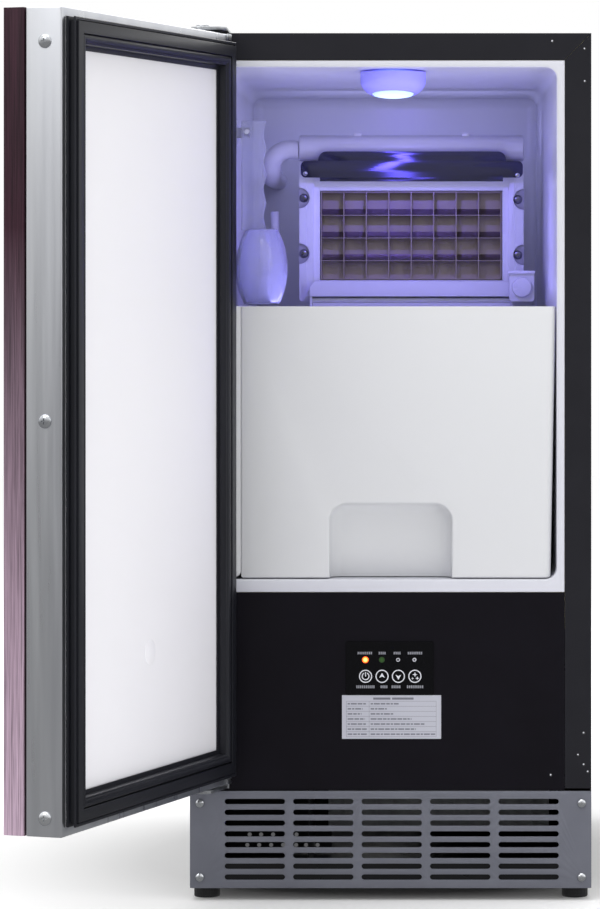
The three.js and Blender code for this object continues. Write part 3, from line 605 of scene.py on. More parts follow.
def cavityBlock(name, grow, front, rounded=True):
    half = liner["half"] + grow
    low, high = liner["low"] - grow, liner["high"] + grow
    deep = liner["deep"] + grow
    block = startBlock(name, (-half, 0, low), (half, deep, high))
    pick(block, lambda co: co.y > 1, "VERT")
    back = (half - liner["taper"]) / half
    rise = (high - low - liner["drop"]) / (high - low)
    bpy.ops.transform.resize(value=(back, 1, rise), center_override=(0, deep / 1000, low / 1000))
    done(block)
    pick(block, lambda centre, normal: normal.y < -0.9)
    bpy.ops.transform.translate(value=(0, front / 1000, 0))
    done(block)
    if rounded:
        roundPicked(block, lambda a, b: abs(a.y - b.y) > 100, liner["corner"], 6)
        roundPicked(block, lambda a, b: a.y > deep - 1 and b.y > deep - 1, liner["backCorner"], 6)
    return block


def makeLiner():
    low, high = nodeBox("liner")
    shell = startBlock("liner_shell", (low[0], 0, low[2]), (high[0], liner["flange"], high[2]))
    carve(shell, cavityBlock("outside", liner["wall"], 0.4, False), "UNION")
    carve(shell, cavityBlock("inside", 0, -3))

    near = 0.6

    def onMouth(a, b):
        return all(p.y < 0.05 and abs(p.x) < liner["half"] + near
                   and liner["low"] - near < p.z < liner["high"] + near for p in (a, b))

    def onRim(a, b):
        level = a.y < 0.05 and b.y < 0.05 and not onMouth(a, b)
        return level and min(abs(abs(a.x) - high[0]), abs(a.z - low[2]), abs(a.z - high[2])) < 0.3
    roundPicked(shell, onMouth, liner["lip"] * 0.8, 4)
    roundPicked(shell, onRim, 0.8, 2)
    fitCase(shell, "liner", "liner_plastic", ["liner"])


makeLiner()
print("liner made")

binSizes = {"front": 2, "top": 552, "rim": 470, "wall": 2.5, "plan": 5.4,
            "draft": math.tan(math.radians(1.07)), "corner": 6, "sharp": 1.2, "foot": 2.5,
            "gripHalf": 57, "gripTop": 368.5, "gripRadius": 16.5,
            "gripDeep": 22, "gripRoof": 12, "gripEdge": 2.6}


def binBlock(name, grow, top, floorLift):
    # upright left wall beside the guide strip; right and back walls lean in towards the foot
    low, high = nodeBox("ice_bin")
    s = binSizes
    foot = low[2] + floorLift
    block = startBlock(name, (low[0] - grow, s["front"] - grow, foot), (high[0] + grow, high[1] + grow, top))
    lean = (s["top"] - low[2]) * s["draft"]
    pick(block, lambda co: co.z < foot + 1 and co.x > 0, "VERT")
    bpy.ops.transform.translate(value=(-lean / 1000, 0, 0))
    done(block)
    pick(block, lambda co: co.z < foot + 1 and co.y > 200, "VERT")
    bpy.ops.transform.translate(value=(0, -lean / 1000, 0))
    done(block)
    pick(block, lambda co: co.x > 0 and co.y > 200, "VERT")
    bpy.ops.transform.translate(value=(-s["plan"] / 1000, 0, 0))
    done(block)
    roundPicked(block, lambda a, b: abs(a.z - b.z) > 100 and a.x > 0, s["corner"] + grow, 5)
    roundPicked(block, lambda a, b: abs(a.z - b.z) > 100 and a.x < 0 and abs(a.x - b.x) < 0.5, s["sharp"], 2)
    roundPicked(block, lambda a, b: a.z < foot + 0.1 and b.z < foot + 0.1, s["foot"], 3)
    return block


def gripBlock(grow):
    s = binSizes
    half, deep = s["gripHalf"] + grow, s["front"] + s["gripDeep"] + grow
    block = startBlock("grip", (-half, -30, 250), (half, deep, s["gripTop"] + grow))
    roundPicked(block, lambda a, b: abs(a.y - b.y) > 20 and a.z > 300, s["gripRadius"] + grow * 0.5, 8)
    roundPicked(block, lambda a, b: min(a.y, b.y) > s["gripDeep"] and max(a.z, b.z) > 300, s["gripRoof"], 6)
    return block


def makeBin():
    s = binSizes
    body = binBlock("ice_bin_shell", 0, s["top"], 0)
    carve(body, gripBlock(0))
    reach = s["gripHalf"] + 0.5

    def onMouth(p):
        return p.y < s["front"] + 0.1 and abs(p.x) < reach and 303 < p.z < s["gripTop"] + 0.5

    def onEdge(a, b):
        upright = abs(a.x - b.x) < 0.1 and max(a.y, b.y) < s["front"] + 0.1
        return onMouth(a) and onMouth(b) or (onMouth(a) or onMouth(b)) and upright
    roundPicked(body, onEdge, s["gripEdge"], 4)
    hollow = binBlock("hollow", -s["wall"], s["top"] + 4, s["wall"])
    carve(hollow, gripBlock(s["wall"]))
    carve(body, hollow)
    rim = startBlock("rim", (-200, 14, s["rim"]), (200, 460, s["top"] + 10))
    pick(rim, lambda co: co.y < 20 and co.z < s["rim"] + 1, "VERT")
    bpy.ops.transform.translate(value=(0, 46 / 1000, 0))
    done(rim)
    roundPicked(rim, lambda a, b: abs(a.x - b.x) > 100 and a.z < s["rim"] + 1 and a.y < 100, 30, 6)
    carve(body, rim)
    softEdges(body, 0.6, 2, 60)
    finishPiece(toCabinet(body), "bin", "bin", "white_plastic", ["ice_bin"], 35)


def makeGuideStrip():
    low, high = nodeBox("bin_guide_strip")
    strip = startBlock("bin_guide", low, (high[0] + 0.5, high[1], high[2]))
    roundPicked(strip, lambda a, b: a.z < low[2] + 1 and b.z < low[2] + 1, 6, 4)
    softEdges(strip, 0.4, 2)
    fitCase(strip, "bin", "liner_plastic", ["bin_guide_strip"])


makeBin()
makeGuideStrip()
print("bin made")


lampShape = {"tilt": 7, "bore": 19.6,
             "drum": [(19.6, 5), (30.9, 5), (30.9, -8.5), (30.6, -11.5), (29.5, -14.2), (27.6, -16.8),
                      (25.2, -19), (22.8, -20.6), (20.8, -21.3), (19.9, -21.3), (19.6, -20.8)],
             "lens": [(0.05, -4), (19.3, -4), (19.3, -21), (18.4, -22.2), (15, -23), (10, -23.5), (5, -23.7),
                      (0.05, -23.75)]}


def makeLamp():
    # drum with a round shoulder, leaning a little to the front; its lower end narrows to the lens
    low, high = nodeBox("lamp_housing")
    x, y, top = (low[0] + high[0]) / 2, (low[1] + high[1]) / 2, high[2]
    lean = (-lampShape["tilt"], 0, 0)
    dome = turned("lamp_housing_dome", lampShape["drum"], 72)
    carve(dome, disc("bore", lampShape["bore"], 8, -30, 72))
    moved(dome, mm(x, y, top), lean)
    carve(dome, startBlock("above", (x - 50, y - 50, top - 0.3), (x + 50, y + 50, top + 30)))
    fitCase(dome, "lampBody", "white_plastic", ["lamp_housing"], 40)
    lens = moved(turned("lamp_lens_dome", lampShape["lens"], 56), mm(x, y, top), lean)
    fitCase(lens, "lens", "lamp_lens", ["lamp_lens"], 50)


makeLamp()
print("lamp made")

module = {"front": 258, "x": (-94, 130), "gridX": (-72.4, 107.9), "gridZ": (577.8, 665.6), "columns": 8,
          "shelfFronts": (642.3, 619.6, 596.9), "shelfRise": 6.6, "plate": 1.0, "tubeY": 268, "tubeZ": 709,
          "screws": [(-89.4, 659), (-89.4, 603.5), (124.1, 657.6), (124.1, 602.3)], "hollow": 10.4,
          "hollowDeep": 4, "barScrews": [(-87.4, 683), (123.4, 681.4)]}
hoseRoute = [(-95, 268, 707), (-108, 268, 707), (-119, 270, 700), (-122.5, 282, 687), (-122.5, 310, 681),
             (-122.5, 350, 681), (-122.5, liner["deep"] - 1, 681)]
probeRoute = [(-120, 300, 646), (-119.4, 300, 625), (-117.6, 300, 590), (-116, 300, 560)]


def makeModule():
    m = module
    low, high = nodeBox("evaporator_frame")
    shell = startBlock("evaporator_surround", low, high)
    roundPicked(shell, alongAxis(1), 3, 3)
    (x0, x1), (z0, z1) = m["gridX"], m["gridZ"]
    carve(shell, startBlock("window", (x0 - 0.8, 200, z0 - 0.8), (x1 + 0.8, 300, z1 + 0.8)))
    step = startBlock("step", (x0 - 7, 250, z0 - 6), (x1 + 7, m["front"] + 1.6, z1 + 40))
    roundPicked(step, alongAxis(1), 1.5, 2)
    carve(shell, step)
    ledge = startBlock("ledge", (x0 - 14, 250, z0 - 12), (x1 + 13, m["front"] + 0.8, z1 + 46))
    roundPicked(ledge, alongAxis(1), 1.5, 2)
    carve(shell, ledge)
    softEdges(shell, 0.5, 2, 40)
    for x, z in m["screws"]:
        edge = m["x"][0] if x < 0 else m["x"][1]
        hollow = disc("hollow", m["hollow"], -1, 5)
        carve(shell, moved(hollow, mm(edge, m["front"] + m["hollowDeep"], z), (90, 0, 0)))
    fitCase(shell, "white", "white_plastic", ["evaporator_frame"])
    tubeLow, tubeHigh = m["x"]
    long = tubeHigh - tubeLow
    pipe = turned("distributor_pipe", [(0.02, 0), (11.6, 0), (12.6, 0.5), (13, 1.6), (13, long - 1.6),
                                       (12.6, long - 0.5), (11.6, long), (0.02, long)], 40)
    moved(pipe, mm(tubeLow, m["tubeY"], m["tubeZ"]), (0, 90, 0))
    bumps = []
    for x in (-36, 72):
        low = (x - 4, m["tubeY"] - 5, m["tubeZ"] + 9)
        bumps.append(softEdges(startBlock("bump", low, (x + 4, m["tubeY"] + 5, m["tubeZ"] + 15.3)), 1.2, 3))
    fitCase(joined("distributor_pipe", [pipe] + bumps), "white", "white_plastic", ["distributor_tube"])
    fitCase(tube("distributor_elbow", hoseRoute, 9.4), "white", "white_plastic", ["distributor_hose"])
    fitCase(tube("level_probe_tube", probeRoute, 4.2, 6), "white", "white_plastic")


def makeGrid():
    # plated cell walls: upright dividers, and shelves that rise to the back so that the ice slides out
    m = module
    low, high = nodeBox("evaporator_grid")
    y0, y1, t = low[1], high[1], m["plate"]
    (x0, x1), (z0, z1) = m["gridX"], m["gridZ"]
    grid = startBlock("ice_cell_grid", (x0, y1 - 1.2, z0), (x1, y1, z1))
    for z in (z0, z1 - t):
        carve(grid, startBlock("edge", (x0, y0, z), (x1, y1, z + t)), "UNION")
    pitch = (x1 - x0 - t) / m["columns"]
    for z in m["shelfFronts"]:
        shelf = startBlock("shelf", (x0 + 0.2, y0 + 0.3, z - 0.7), (x1 - 0.2, y1 - 0.2, z))
        pick(shelf, lambda co: co.y > y1 - 1, "VERT")
        bpy.ops.transform.translate(value=(0, 0, m["shelfRise"] / 1000))
        carve(grid, done(shelf), "UNION")
    for i in range(m["columns"] + 1):
        x = x0 + i * pitch
        setBack = 0 if i in (0, m["columns"]) else 0.15
        carve(grid, startBlock("divider", (x, y0 + setBack, z0), (x + t, y1, z1)), "UNION")
    softEdges(grid, 0.2, 1, 60)
    fitCase(grid, "cells", "cell_plate", ["evaporator_grid"], 0)


def makeSplashBar():
    # folded stainless strip over the cells: a front bar, a middle flap below it and a rear plate above
    y = nodeBox("splash_bar")[0][1]
    bar = startBlock("splash_bar_strip", (-92, y, 679), (128.8, y + 1.5, 695.5))
    roundPicked(bar, alongAxis(1), 5, 6)
    flap = startBlock("flap", (-73, y, 676.4), (109, y + 1.5, 684))
    roundPicked(flap, lambda a, b: alongAxis(1)(a, b) and a.z < 680, 1.5, 3)
    carve(bar, flap, "UNION")
    foot = startBlock("foot", (-73, y, 675.3), (109, y + 6, 676.8))
    carve(bar, foot, "UNION")
    rear = startBlock("rear", (-74.5, y + 1.3, 685), (112, y + 2.8, 705))
    roundPicked(rear, lambda a, b: alongAxis(1)(a, b) and a.z > 690, 8, 8)
    carve(bar, rear, "UNION")
    for x in (-60, 96):
        carve(bar, startBlock("arm", (x, y + 1, 684), (x + 6, module["front"] - 0.3, 688)), "UNION")
    softEdges(bar, 0.35, 2, 50)
    fitCase(bar, "guard", "guard_steel", ["splash_bar"], 40)


makeModule()
makeGrid()
makeSplashBar()


def makeModuleScrews():
    # the surround hangs on four screws, each through a grey washer in its half-round hollow
    m = module
    for i, (x, z) in enumerate(m["screws"]):
        edge = m["x"][0] if x < 0 else m["x"][1]
        r = m["hollow"] - 0.3
        washer = turned(f"module_washer_{i + 1}", [(0.02, 0), (r, 0), (r, 0.5), (0.02, 0.5)], 40)
        moved(washer, mm(edge, m["front"] + m["hollowDeep"] - 0.1, z), (90, 0, 0))
        outer = edge - 30 if x < 0 else edge + 0.3
        carve(washer, startBlock("half", (outer, m["front"], z - 20), (outer + 29.7, m["front"] + 9, z + 20)))
        fitCase(washer, "clampGrey", "white_plastic")
        head = screwHead(f"module_screw_{i + 1}", 4.4, 2.2)
        moved(head, mm(x, m["front"] + m["hollowDeep"] - 0.6, z), (90, 0, 0))
        fitCase(head, "darkScrew", "zinc_plate", (), 40)
    for i, (x, z) in enumerate(m["barScrews"]):
        head = moved(screwHead(f"splash_bar_screw_{i + 1}", 2.6, 1.8), mm(x, 243.9, z), (90, 0, 0))
        fitCase(head, "screw", "zinc_plate", (), 40)


makeModuleScrews()


def makeSwitchBox():
    # moulded box over the flap switch, with its round boss and a small ledge
    box = startBlock("switch_box", (115, 222, 556), (139.5, 234, 585.4))
    roundPicked(box, alongAxis(1), 3, 4)
    body = startBlock("body", (122, 232, 558), (139.5, module["front"] - 0.4, 583))
    carve(box, body, "UNION")
    ledge = startBlock("ledge", (113.5, 219, 583.6), (140, 234, 586.2))
    carve(box, ledge, "UNION")
    boss = turned("boss", [(0.02, 0), (9.8, 0), (9.8, 4), (9.2, 5), (0.05, 5.6)], 40)
    moved(boss, mm(127.2, 222.4, 570), (90, 0, 0))
    carve(box, boss, "UNION")
    softEdges(box, 0.6, 2, 40)
    fitCase(box, "white", "white_plastic", ["flap_switch_box"])


makeSwitchBox()
print("ice module made")

scoopSizes = {"y": 130, "hole": (-139.5, 719), "holeRadius": 3.2, "handle": (-145, -122.6),
              "handleSpan": (624.5, 730), "bowlX": -125.6, "bowlZ": 588, "bowlRadii": (24.9, 34.5, 47),
              "bowlSpan": (554, 626), "wall": 2.2, "waves": 16, "wave": 1.6}


def makeScoop():
    # a deep bowl with an open foot, its shoulders drawn in to a flat handle with finger waves
    s = scoopSizes
    deselectAll()
    middle = mm(s["bowlX"], s["y"], s["bowlZ"])
    bpy.ops.mesh.primitive_uv_sphere_add(segments=48, ring_count=28, radius=1, location=middle)
    bowl = bpy.context.object
    bowl.name = "scoop_bowl"
    bowl.scale = mm(*s["bowlRadii"])
    settle(bowl)
    foot, shoulder = s["bowlSpan"]
    pick(bowl, lambda co: True, "VERT")
    bpy.ops.mesh.bisect(plane_co=mm(0, 0, shoulder), plane_no=(0, 0, 1), clear_outer=True, use_fill=True)
    done(bowl)
    pick(bowl, lambda co: True, "VERT")
    bpy.ops.mesh.bisect(plane_co=mm(0, 0, foot), plane_no=(0, 0, 1), clear_inner=True)
    done(bowl)
    wall = bowl.modifiers.new("wall", "SOLIDIFY")
    wall.thickness = s["wall"] / 1000
    wall.offset = -1
    applyAll(bowl)
    x0, x1 = s["handle"]
    low, top = s["handleSpan"]
    grip = startBlock("grip", (x0, s["y"] - 5.8, low), (x1, s["y"] + 5.8, top))
    pick(grip, lambda a, b: True, "EDGE")
    bpy.ops.mesh.subdivide(number_cuts=s["waves"] - 1)
    done(grip)
    for row in range(s["waves"] + 1):
        level = low + row * (top - low) / s["waves"]
        swell = s["wave"] * math.cos(row * math.pi / 2)
        pick(grip, lambda co, z=level: abs(co.z - z) < 1 and co.x > x1 - 1, "VERT")
        bpy.ops.transform.translate(value=mm(swell, 0, 0))
        done(grip)
    hx, hz = s["hole"]
    carve(grip, moved(disc("hole", s["holeRadius"], -20, 20, 24), mm(hx, s["y"], hz), (90, 0, 0)))
    softEdges(grip, 1.6, 3, 60)
    piece = joined("ice_scoop", [bowl, grip])
    finishPiece(toCabinet(piece), "scoop", "clear", "clear_plastic", ["scoop"], 60)


makeScoop()
print("scoop made")

hinge = {"caseHalf": 186.47, "axis": (-172.6, -33.5), "screws": [(-177, 12), (-158, 12), (-168, 34)]}
doorU = (-hinge["caseHalf"] - hinge["axis"][0], hinge["caseHalf"] - hinge["axis"][0])
doorZ = (112.4, 802.8)
doorLayers = {"panBack": 21.9, "panFront": -10.8, "woodBack": -12.3, "woodFront": -31.2, "band": 0.8}


def makeDoorPan():
    d = doorLayers
    pan = startBlock("door_steel_pan", (doorU[0], d["panFront"], doorZ[0]),
                     (doorU[1], d["panBack"], doorZ[1]))
    roundPicked(pan, lambda a, b: True, 1.2, 4)
    lip = 7.5
    mouth = startBlock("mouth", (doorU[0] + lip, d["panBack"] - 4.6, doorZ[0] + lip),
                       (doorU[1] - lip, d["panBack"] + 9, doorZ[1] - lip))
    carve(pan, mouth)
    for z in (doorZ[0] - 5, doorZ[1] - 14):
        carve(pan, moved(disc("hole", 3.9, 0, 20, 24), mm(0, 0, z)))
    fitDoor(pan, "doorSteel", "brushed_door_steel", ["door_pan"])


def makeDoorWood():
    d = doorLayers
    board = startBlock("door_veneer_board", (doorU[0], d["woodFront"], doorZ[0]),
                       (doorU[1] - d["band"], d["woodBack"], doorZ[1]))
    roundPicked(board, lambda a, b: True, 0.7, 3)
    fitDoor(board, "wood", "veneer_wood", ["door_wood_panel"])
    band = startBlock("door_edge_band", (doorU[1] - d["band"], d["woodFront"] + 0.1, doorZ[0] + 0.1),
                      (doorU[1], d["woodBack"] - 0.1, doorZ[1] - 0.1))
    fitDoor(softEdges(band, 0.2, 2), "woodEdge", "veneer_wood")
    # black strip in the gap between the veneer board and the steel pan: painted shade for the shadow line there
    pad = startBlock("door_panel_shade_strip", (doorU[0] + 3, d["woodBack"] - 0.3, doorZ[0] + 3),
                     (doorU[1] - 3, d["panFront"] - 0.2, doorZ[1] - 3))
    softEdges(pad, 0.2, 1)
    fitDoor(pad, "blackPlastic", "black_plastic")


def makeDoorGasket():
    # PVC section: a skirt over the steel, a flat outer face, a groove, a round ridge and a lip to the panel
    side = [(0, 2.2), (3.3, 2.6), (3.3, 6.2), (0.4, 6.8), (0, 7.4), (0, 8.4), (0.5, 8.8), (2.4, 8.6),
            (2.7, 7.0), (3.2, 7.0), (3.5, 10.1), (3.9, 10.3)]
    groove = [(13.2, 10.3), (13.5, 10.0), (13.6, 6.5), (14.5, 6.5)]
    ridge = [(14.8, 9.4), (15.5, 9.9), (16.5, 10.05), (17.8, 9.8), (19, 9.3), (20.2, 8.5), (21.3, 7.6)]
    lip = [(22, 7.4), (22.3, 6.8), (22.6, 1), (26.5, 0.8), (26.5, 0)]
    inset = 8
    frameLoop = sweptFrame("door_seal", (doorU[0] + inset, doorU[1] - inset),
                           (doorZ[0] + inset, doorZ[1] - inset), doorLayers["panBack"] + 0.3,
                           side + groove + ridge + lip)
    fitDoor(frameLoop, "rubber", "gasket_rubber", ["door_gasket"], 40)


def makeDoorInner():
    d = doorLayers
    lip = 7.8
    sheet = startBlock("door_liner_sheet", (doorU[0] + lip, d["panBack"] - 4, doorZ[0] + lip),
                       (doorU[1] - lip, d["panBack"] - 0.3, doorZ[1] - lip))
    roundPicked(sheet, lambda a, b: True, 0.6, 2)
    plug = turned("plug", [(11, 0), (11, 0.35), (10.4, 0.6), (0.05, 0.62)], 48)
    moved(plug, mm((doorU[0] + doorU[1]) / 2, d["panBack"] - 0.4, 250), (-90, 0, 0))
    sheet = joined("door_liner_sheet", [sheet, plug])
    fitDoor(sheet, "doorPanel", "white_plastic", ["door_inner_panel"])


def makeDoorHardware():
    d = doorLayers
    for i, z in enumerate((774, 458, 128)):
        head = screwHead(f"door_edge_screw_{i + 1}", 5.9, 2.6)
        moved(head, mm(doorU[1], d["panBack"] - 15.3, z), (0, 90, 0))
        fitDoor(head, "screw", "zinc_plate", (), 40)
    for name, z in (("top", doorZ[1] - 6.5), ("bottom", doorZ[0] - 0.2)):
        corner = startBlock(f"door_corner_bracket_{name}", (doorU[0] - 0.3, d["panBack"] + 0.1, z),
                            (doorU[0] + 11, d["panBack"] + 1.3, z + 6.7))
        roundPicked(corner, alongAxis(1), 2, 3)
        softEdges(corner, 0.3, 2)
        fitDoor(corner, "zinc", "zinc_plate")


makeDoorPan()
makeDoorWood()
makeDoorGasket()
makeDoorInner()
makeDoorHardware()
print("door made")


def makeTopHinge():
    low, high = nodeBox("top_hinge_bracket")
    plate = startBlock("hinge_plate", low, high)
    roundPicked(plate, lambda a, b: alongAxis(2)(a, b) and a.y < low[1] + 1, 10, 6)
    roundPicked(plate, lambda a, b: alongAxis(2)(a, b) and a.y > high[1] - 1, 3, 3)
    for x, y in hinge["screws"]:
        carve(plate, moved(disc("hole", 2.6, -10, 10, 20), mm(x, y, high[2])))
    carve(plate, moved(disc("bore", 3.7, -10, 10, 24), mm(*hinge["axis"], high[2])))
    softEdges(plate, 0.4, 2, 40)
    fitCase(plate, "zinc", "zinc_plate", ["top_hinge_bracket"])
    foot = nodeBox("top_hinge_pin")[0][2]
    base = high[2] + 0.3
    pin = turned("hinge_pin", [(0.05, foot), (3, foot), (3.4, foot + 0.6), (3.4, base), (6.4, base),
                               (6.5, base + 0.2), (6.5, base + 1.0), (5.8, base + 1.7),
                               (0.05, base + 1.85)], 32)
    cross = [startBlock("bar", (-3.4, -0.7, base + 0.8), (3.4, 0.7, base + 5)),
             startBlock("bar", (-0.7, -3.4, base + 0.8), (0.7, 3.4, base + 5))]
    for bar in cross:
        carve(pin, bar)
    moved(pin, mm(*hinge["axis"], 0))
    fitCase(pin, "screw", "zinc_plate", ["top_hinge_pin"], 40)
    for i, (x, y) in enumerate(hinge["screws"]):
        head = screwHead(f"hinge_screw_{i + 1}", 4.2, 2.0)
        moved(head, mm(x, y, high[2] + 0.02))
        fitCase(head, "screw", "zinc_plate", (), 40)


makeTopHinge()
print("hinges made")


def flatPlate(name, low, high, front, proud=0.06):
    return startBlock(name, (low[0], front - proud, low[1]), (high[0], front, high[1]))


def ringPlate(name, outer, inner, x, z, front):
    ring = turned(name, [(outer, 0), (outer, 0.12)], 40)
    carve(ring, disc("hole", inner, -1, 1))
    return moved(ring, mm(x, front, z), (90, 0, 0))


def arrowPlate(name, x, z, size, up, front):
    # pointer with a notch in its tail
    mark = turned(name, [(size, 0), (size, 0.12)], 3)
    pick(mark, lambda co: co.y < 0, "VERT")
    bpy.ops.mesh.bisect(plane_co=(0, 0, 0), plane_no=(1, 0, 0))
    done(mark)
    pick(mark, lambda co: abs(co.x) < 0.05 and co.y < 0, "VERT")
    bpy.ops.transform.translate(value=(0, size * 0.42 / 1000, 0))
    done(mark)
    return moved(mark, mm(x, front, z), (90, 0, 0) if up else (90, 180, 0))


def starPlate(name, x, z, size, front):
    # four-point spark: a square whose edge middles are pulled in
    star = turned(name, [(size, 0), (size, 0.12)], 8)
    pick(star, lambda co: abs(abs(co.x) - abs(co.y)) < size * 0.1, "VERT")
    bpy.ops.transform.resize(value=(0.34, 0.34, 1), center_override=(0, 0, 0))
    done(star)
    return moved(star, mm(x, front, z), (90, 0, 0))


def makeIcons():
    c = controls
    z = c["buttonZ"]
    front = nodeBox("button_power")[0][1] - 0.01
    for use, x in zip(("power", "up", "down", "clean"), c["buttonX"]):
        marks = [ringPlate("ring", c["ringRadius"] - 0.1, c["ringRadius"] - 0.1 - c["ringLine"], x, z, front)]
        if use == "power":
            arc = ringPlate("arc", 3.6, 2.7, x, z, front)
            carve(arc, startBlock("gap", (x - 1.3, front - 5, z + 1), (x + 1.3, front + 5, z + 5)))
            marks += [arc, flatPlate("stroke", (x - 0.4, z - 0.2), (x + 0.4, z + 3.9), front, 0.12)]
        elif use == "clean":
            marks += [starPlate("spark", x + dx, z + dz, r, front) for dx, dz, r in
                      ((0.1, 1.6, 2.4), (2.2, -1.8, 1.9), (-2.1, -2.1, 1.3))]
        else:
            marks += [arrowPlate("arrow", x, z + (0.1 if use == "up" else -0.1), 3.1, use == "up", front)]
        icon = toCabinet(joined(f"icon_{use}", marks))
        finishPiece(icon, f"{use}_button", "print", "control_gloss", (), 0)


def makeLamps():
    c = controls
    looks = ("orange", "green", "lampOff", "lampOff")
    for i, (x, look) in enumerate(zip(c["lampX"], looks)):
        r = c["lampRadius"][i]
        lens = turned(f"indicator_{i + 1}", [(r, -0.02), (r, 0.04), (0.03, 0.07)], 40)
        moved(lens, mm(x, c["face"] + 0.05, c["lampZ"]), (90, 0, 0))
        fitCase(lens, look, "light_pipe", (), 50)


def makeCaptions():
    # rows of small plain blocks in place of the printed captions, over the lamps and below the buttons
    c = controls
    blocks = []
    rows = [(228.6, 2.4, [(-30.7, -16.5), (-11.1, -4.1), (2.8, 10.9), (15.9, 29.8)]),
            (197.2, 2.6, [(-31.9, -14.2), (-9.4, -1.7), (0.9, 9.3), (15.1, 30.5)])]
    width, pitch = 1.15, 1.75
    for z, tall, spans in rows:
        for x0, x1 in spans:
            count = int((x1 - x0 - width) / pitch) + 1
            for i in range(count):
                x = x0 + i * pitch
                blocks.append(flatPlate("block", (x, z), (x + width, z + tall), c["face"], 0.05))
    piece = toCabinet(joined("overlay_caption_bars", blocks))
    finishPiece(piece, "cabinet", "caption", "control_gloss", (), 0)


def makeLegend():
    # the rule sheet below the buttons: a table whose words are grey bars
    low, high = nodeBox("legend_label")
    front = low[1]
    left, right = low[0] + 4, high[0] - 4.6
    rows, bottom, top = 7, low[2] + 2, high[2] - 5.6
    pitch = (top - bottom) / rows
    column = left + 21.2
    thin = 0.12
    levels = [bottom + i * pitch for i in range(rows + 1)]
    lines = [flatPlate("line", (left, z - thin), (right, z + thin), front, 0.04) for z in levels]
    for x in (left, column, right):
        lines.append(flatPlate("line", (x - thin, bottom), (x + thin, top), front, 0.04))
    lengths = ((17, 26), (14, 15), (13, 21), (16, 38), (17, 50), (18, 42), (18.5, 60))
    for i, (first, second) in enumerate(lengths):
        z = top - (i + 0.5) * pitch
        for start, length in ((left + 1.2, first), (column + 1.4, second)):
            word = start
            step = 0
            while word < start + length:
                size = 2.2 + (step * 7 + i * 5) % 4 * 1.1
                end = min(word + size, start + length)
                lines.append(flatPlate("word", (word, z - 0.65), (end, z + 0.65), front, 0.04))
                word = end + 0.8
                step += 1
    title = left + 25
    for size in (16, 20):
        lines.append(flatPlate("title", (title, top + 1.5), (title + size, top + 3.5), front, 0.04))
        title += size + 1.5
    piece = toCabinet(joined("legend_print", lines))
    finishPiece(piece, "cabinet", "ink", "legend_film", (), 0)


dress("gloss", "control_overlay", "button_power", "button_up", "button_down", "button_clean")
makeIcons()
makeLamps()
makeCaptions()
makeLegend()
print("controls made")

slots = {"length": 56.1, "height": 5, "columns": 5, "rows": 8, "pitchX": 63.6, "pitchZ": 10.03, "topZ": 92,
         "x": 1}


def makeGrille():
    low, high = nodeBox("kick_grille")
    plate = startBlock("grille_plate", low, high)
    roundPicked(plate, alongAxis(1), 2, 3)
    half, rise = slots["length"] / 2, slots["height"] / 2
    first = startBlock("slot", (-half, -8, -rise), (half, 4, rise))
    roundPicked(first, alongAxis(1), rise - 0.01, 5)
    cutters = []
    for column in range(slots["columns"]):
        for row in range(slots["rows"]):
            x = slots["x"] + (column - (slots["columns"] - 1) / 2) * slots["pitchX"]
            cutters.append(copyOf(first, "slot", (x, 0, slots["topZ"] - row * slots["pitchZ"])))
    bpy.data.objects.remove(first)
    carve(plate, joined("slots", cutters))
    softEdges(plate, 0.3, 2, 60)
    fitCase(plate, "grille", "grille_paint", ["kick_grille"])
    for side in ("left", "right"):
        for level in ("top", "bottom"):
            name = f"grille_screw_{side}_{level}"
            screwLow, screwHigh = nodeBox(name)
            x, z = (screwLow[0] + screwHigh[0]) / 2, (screwLow[2] + screwHigh[2]) / 2
            head = screwHead(f"grille_pan_head_{side}_{level}", 4.3, 2.6)
            moved(head, mm(x, low[1] - 0.05, z), (90, 0, 0))
            fitCase(head, "screw", "zinc_plate", [name], 40)


footProfile = [(10.8, 0), (11.6, 0.2), (12.1, 1), (12.2, 2), (12.2, 9.6), (11.8, 10.6), (10.8, 11), (4.2, 11),
               (4.2, 11.6), (4, 12), (4, 26.5), (3.4, 27.1), (0.05, 27.2)]


def makeFeet():
    for side in ("left", "right"):
        for level in ("front", "back"):
            name = f"foot_{level}_{side}"
            low, high = nodeBox(name)
            x, y = (low[0] + high[0]) / 2, (low[1] + high[1]) / 2
            pad = turned(f"levelling_{name}", footProfile, 48)
            for i in range(24):
                angle = 2 * math.pi * i / 24
                groove = startBlock("groove", (12.0, -0.5, 2.2), (14, 0.5, 9))
                groove.rotation_euler = (0, 0, angle)
                carve(pad, settle(groove))
            moved(pad, mm(x, y, 0))
            body = f"foot_{level}_{side}_body"
            finishPiece(toCabinet(pad), body, "blackPlastic", "black_plastic", [name], 30)


# a black sheet without holes behind the grille is painted shade for the dark machine space, and glowing grey dots
# on it are painted light for the light that comes through holes at the back
ventShadeSheet = {"y": 200, "right": -60, "z": (14, 100), "dot": 2.1,
           "rows": [(32.5, [-140.6, -129.4, -117.6, -94.6]),
                    (22.2, [-142.9, -131.3, -119.5, -107.8, -95, -85.2, -73.9])]}


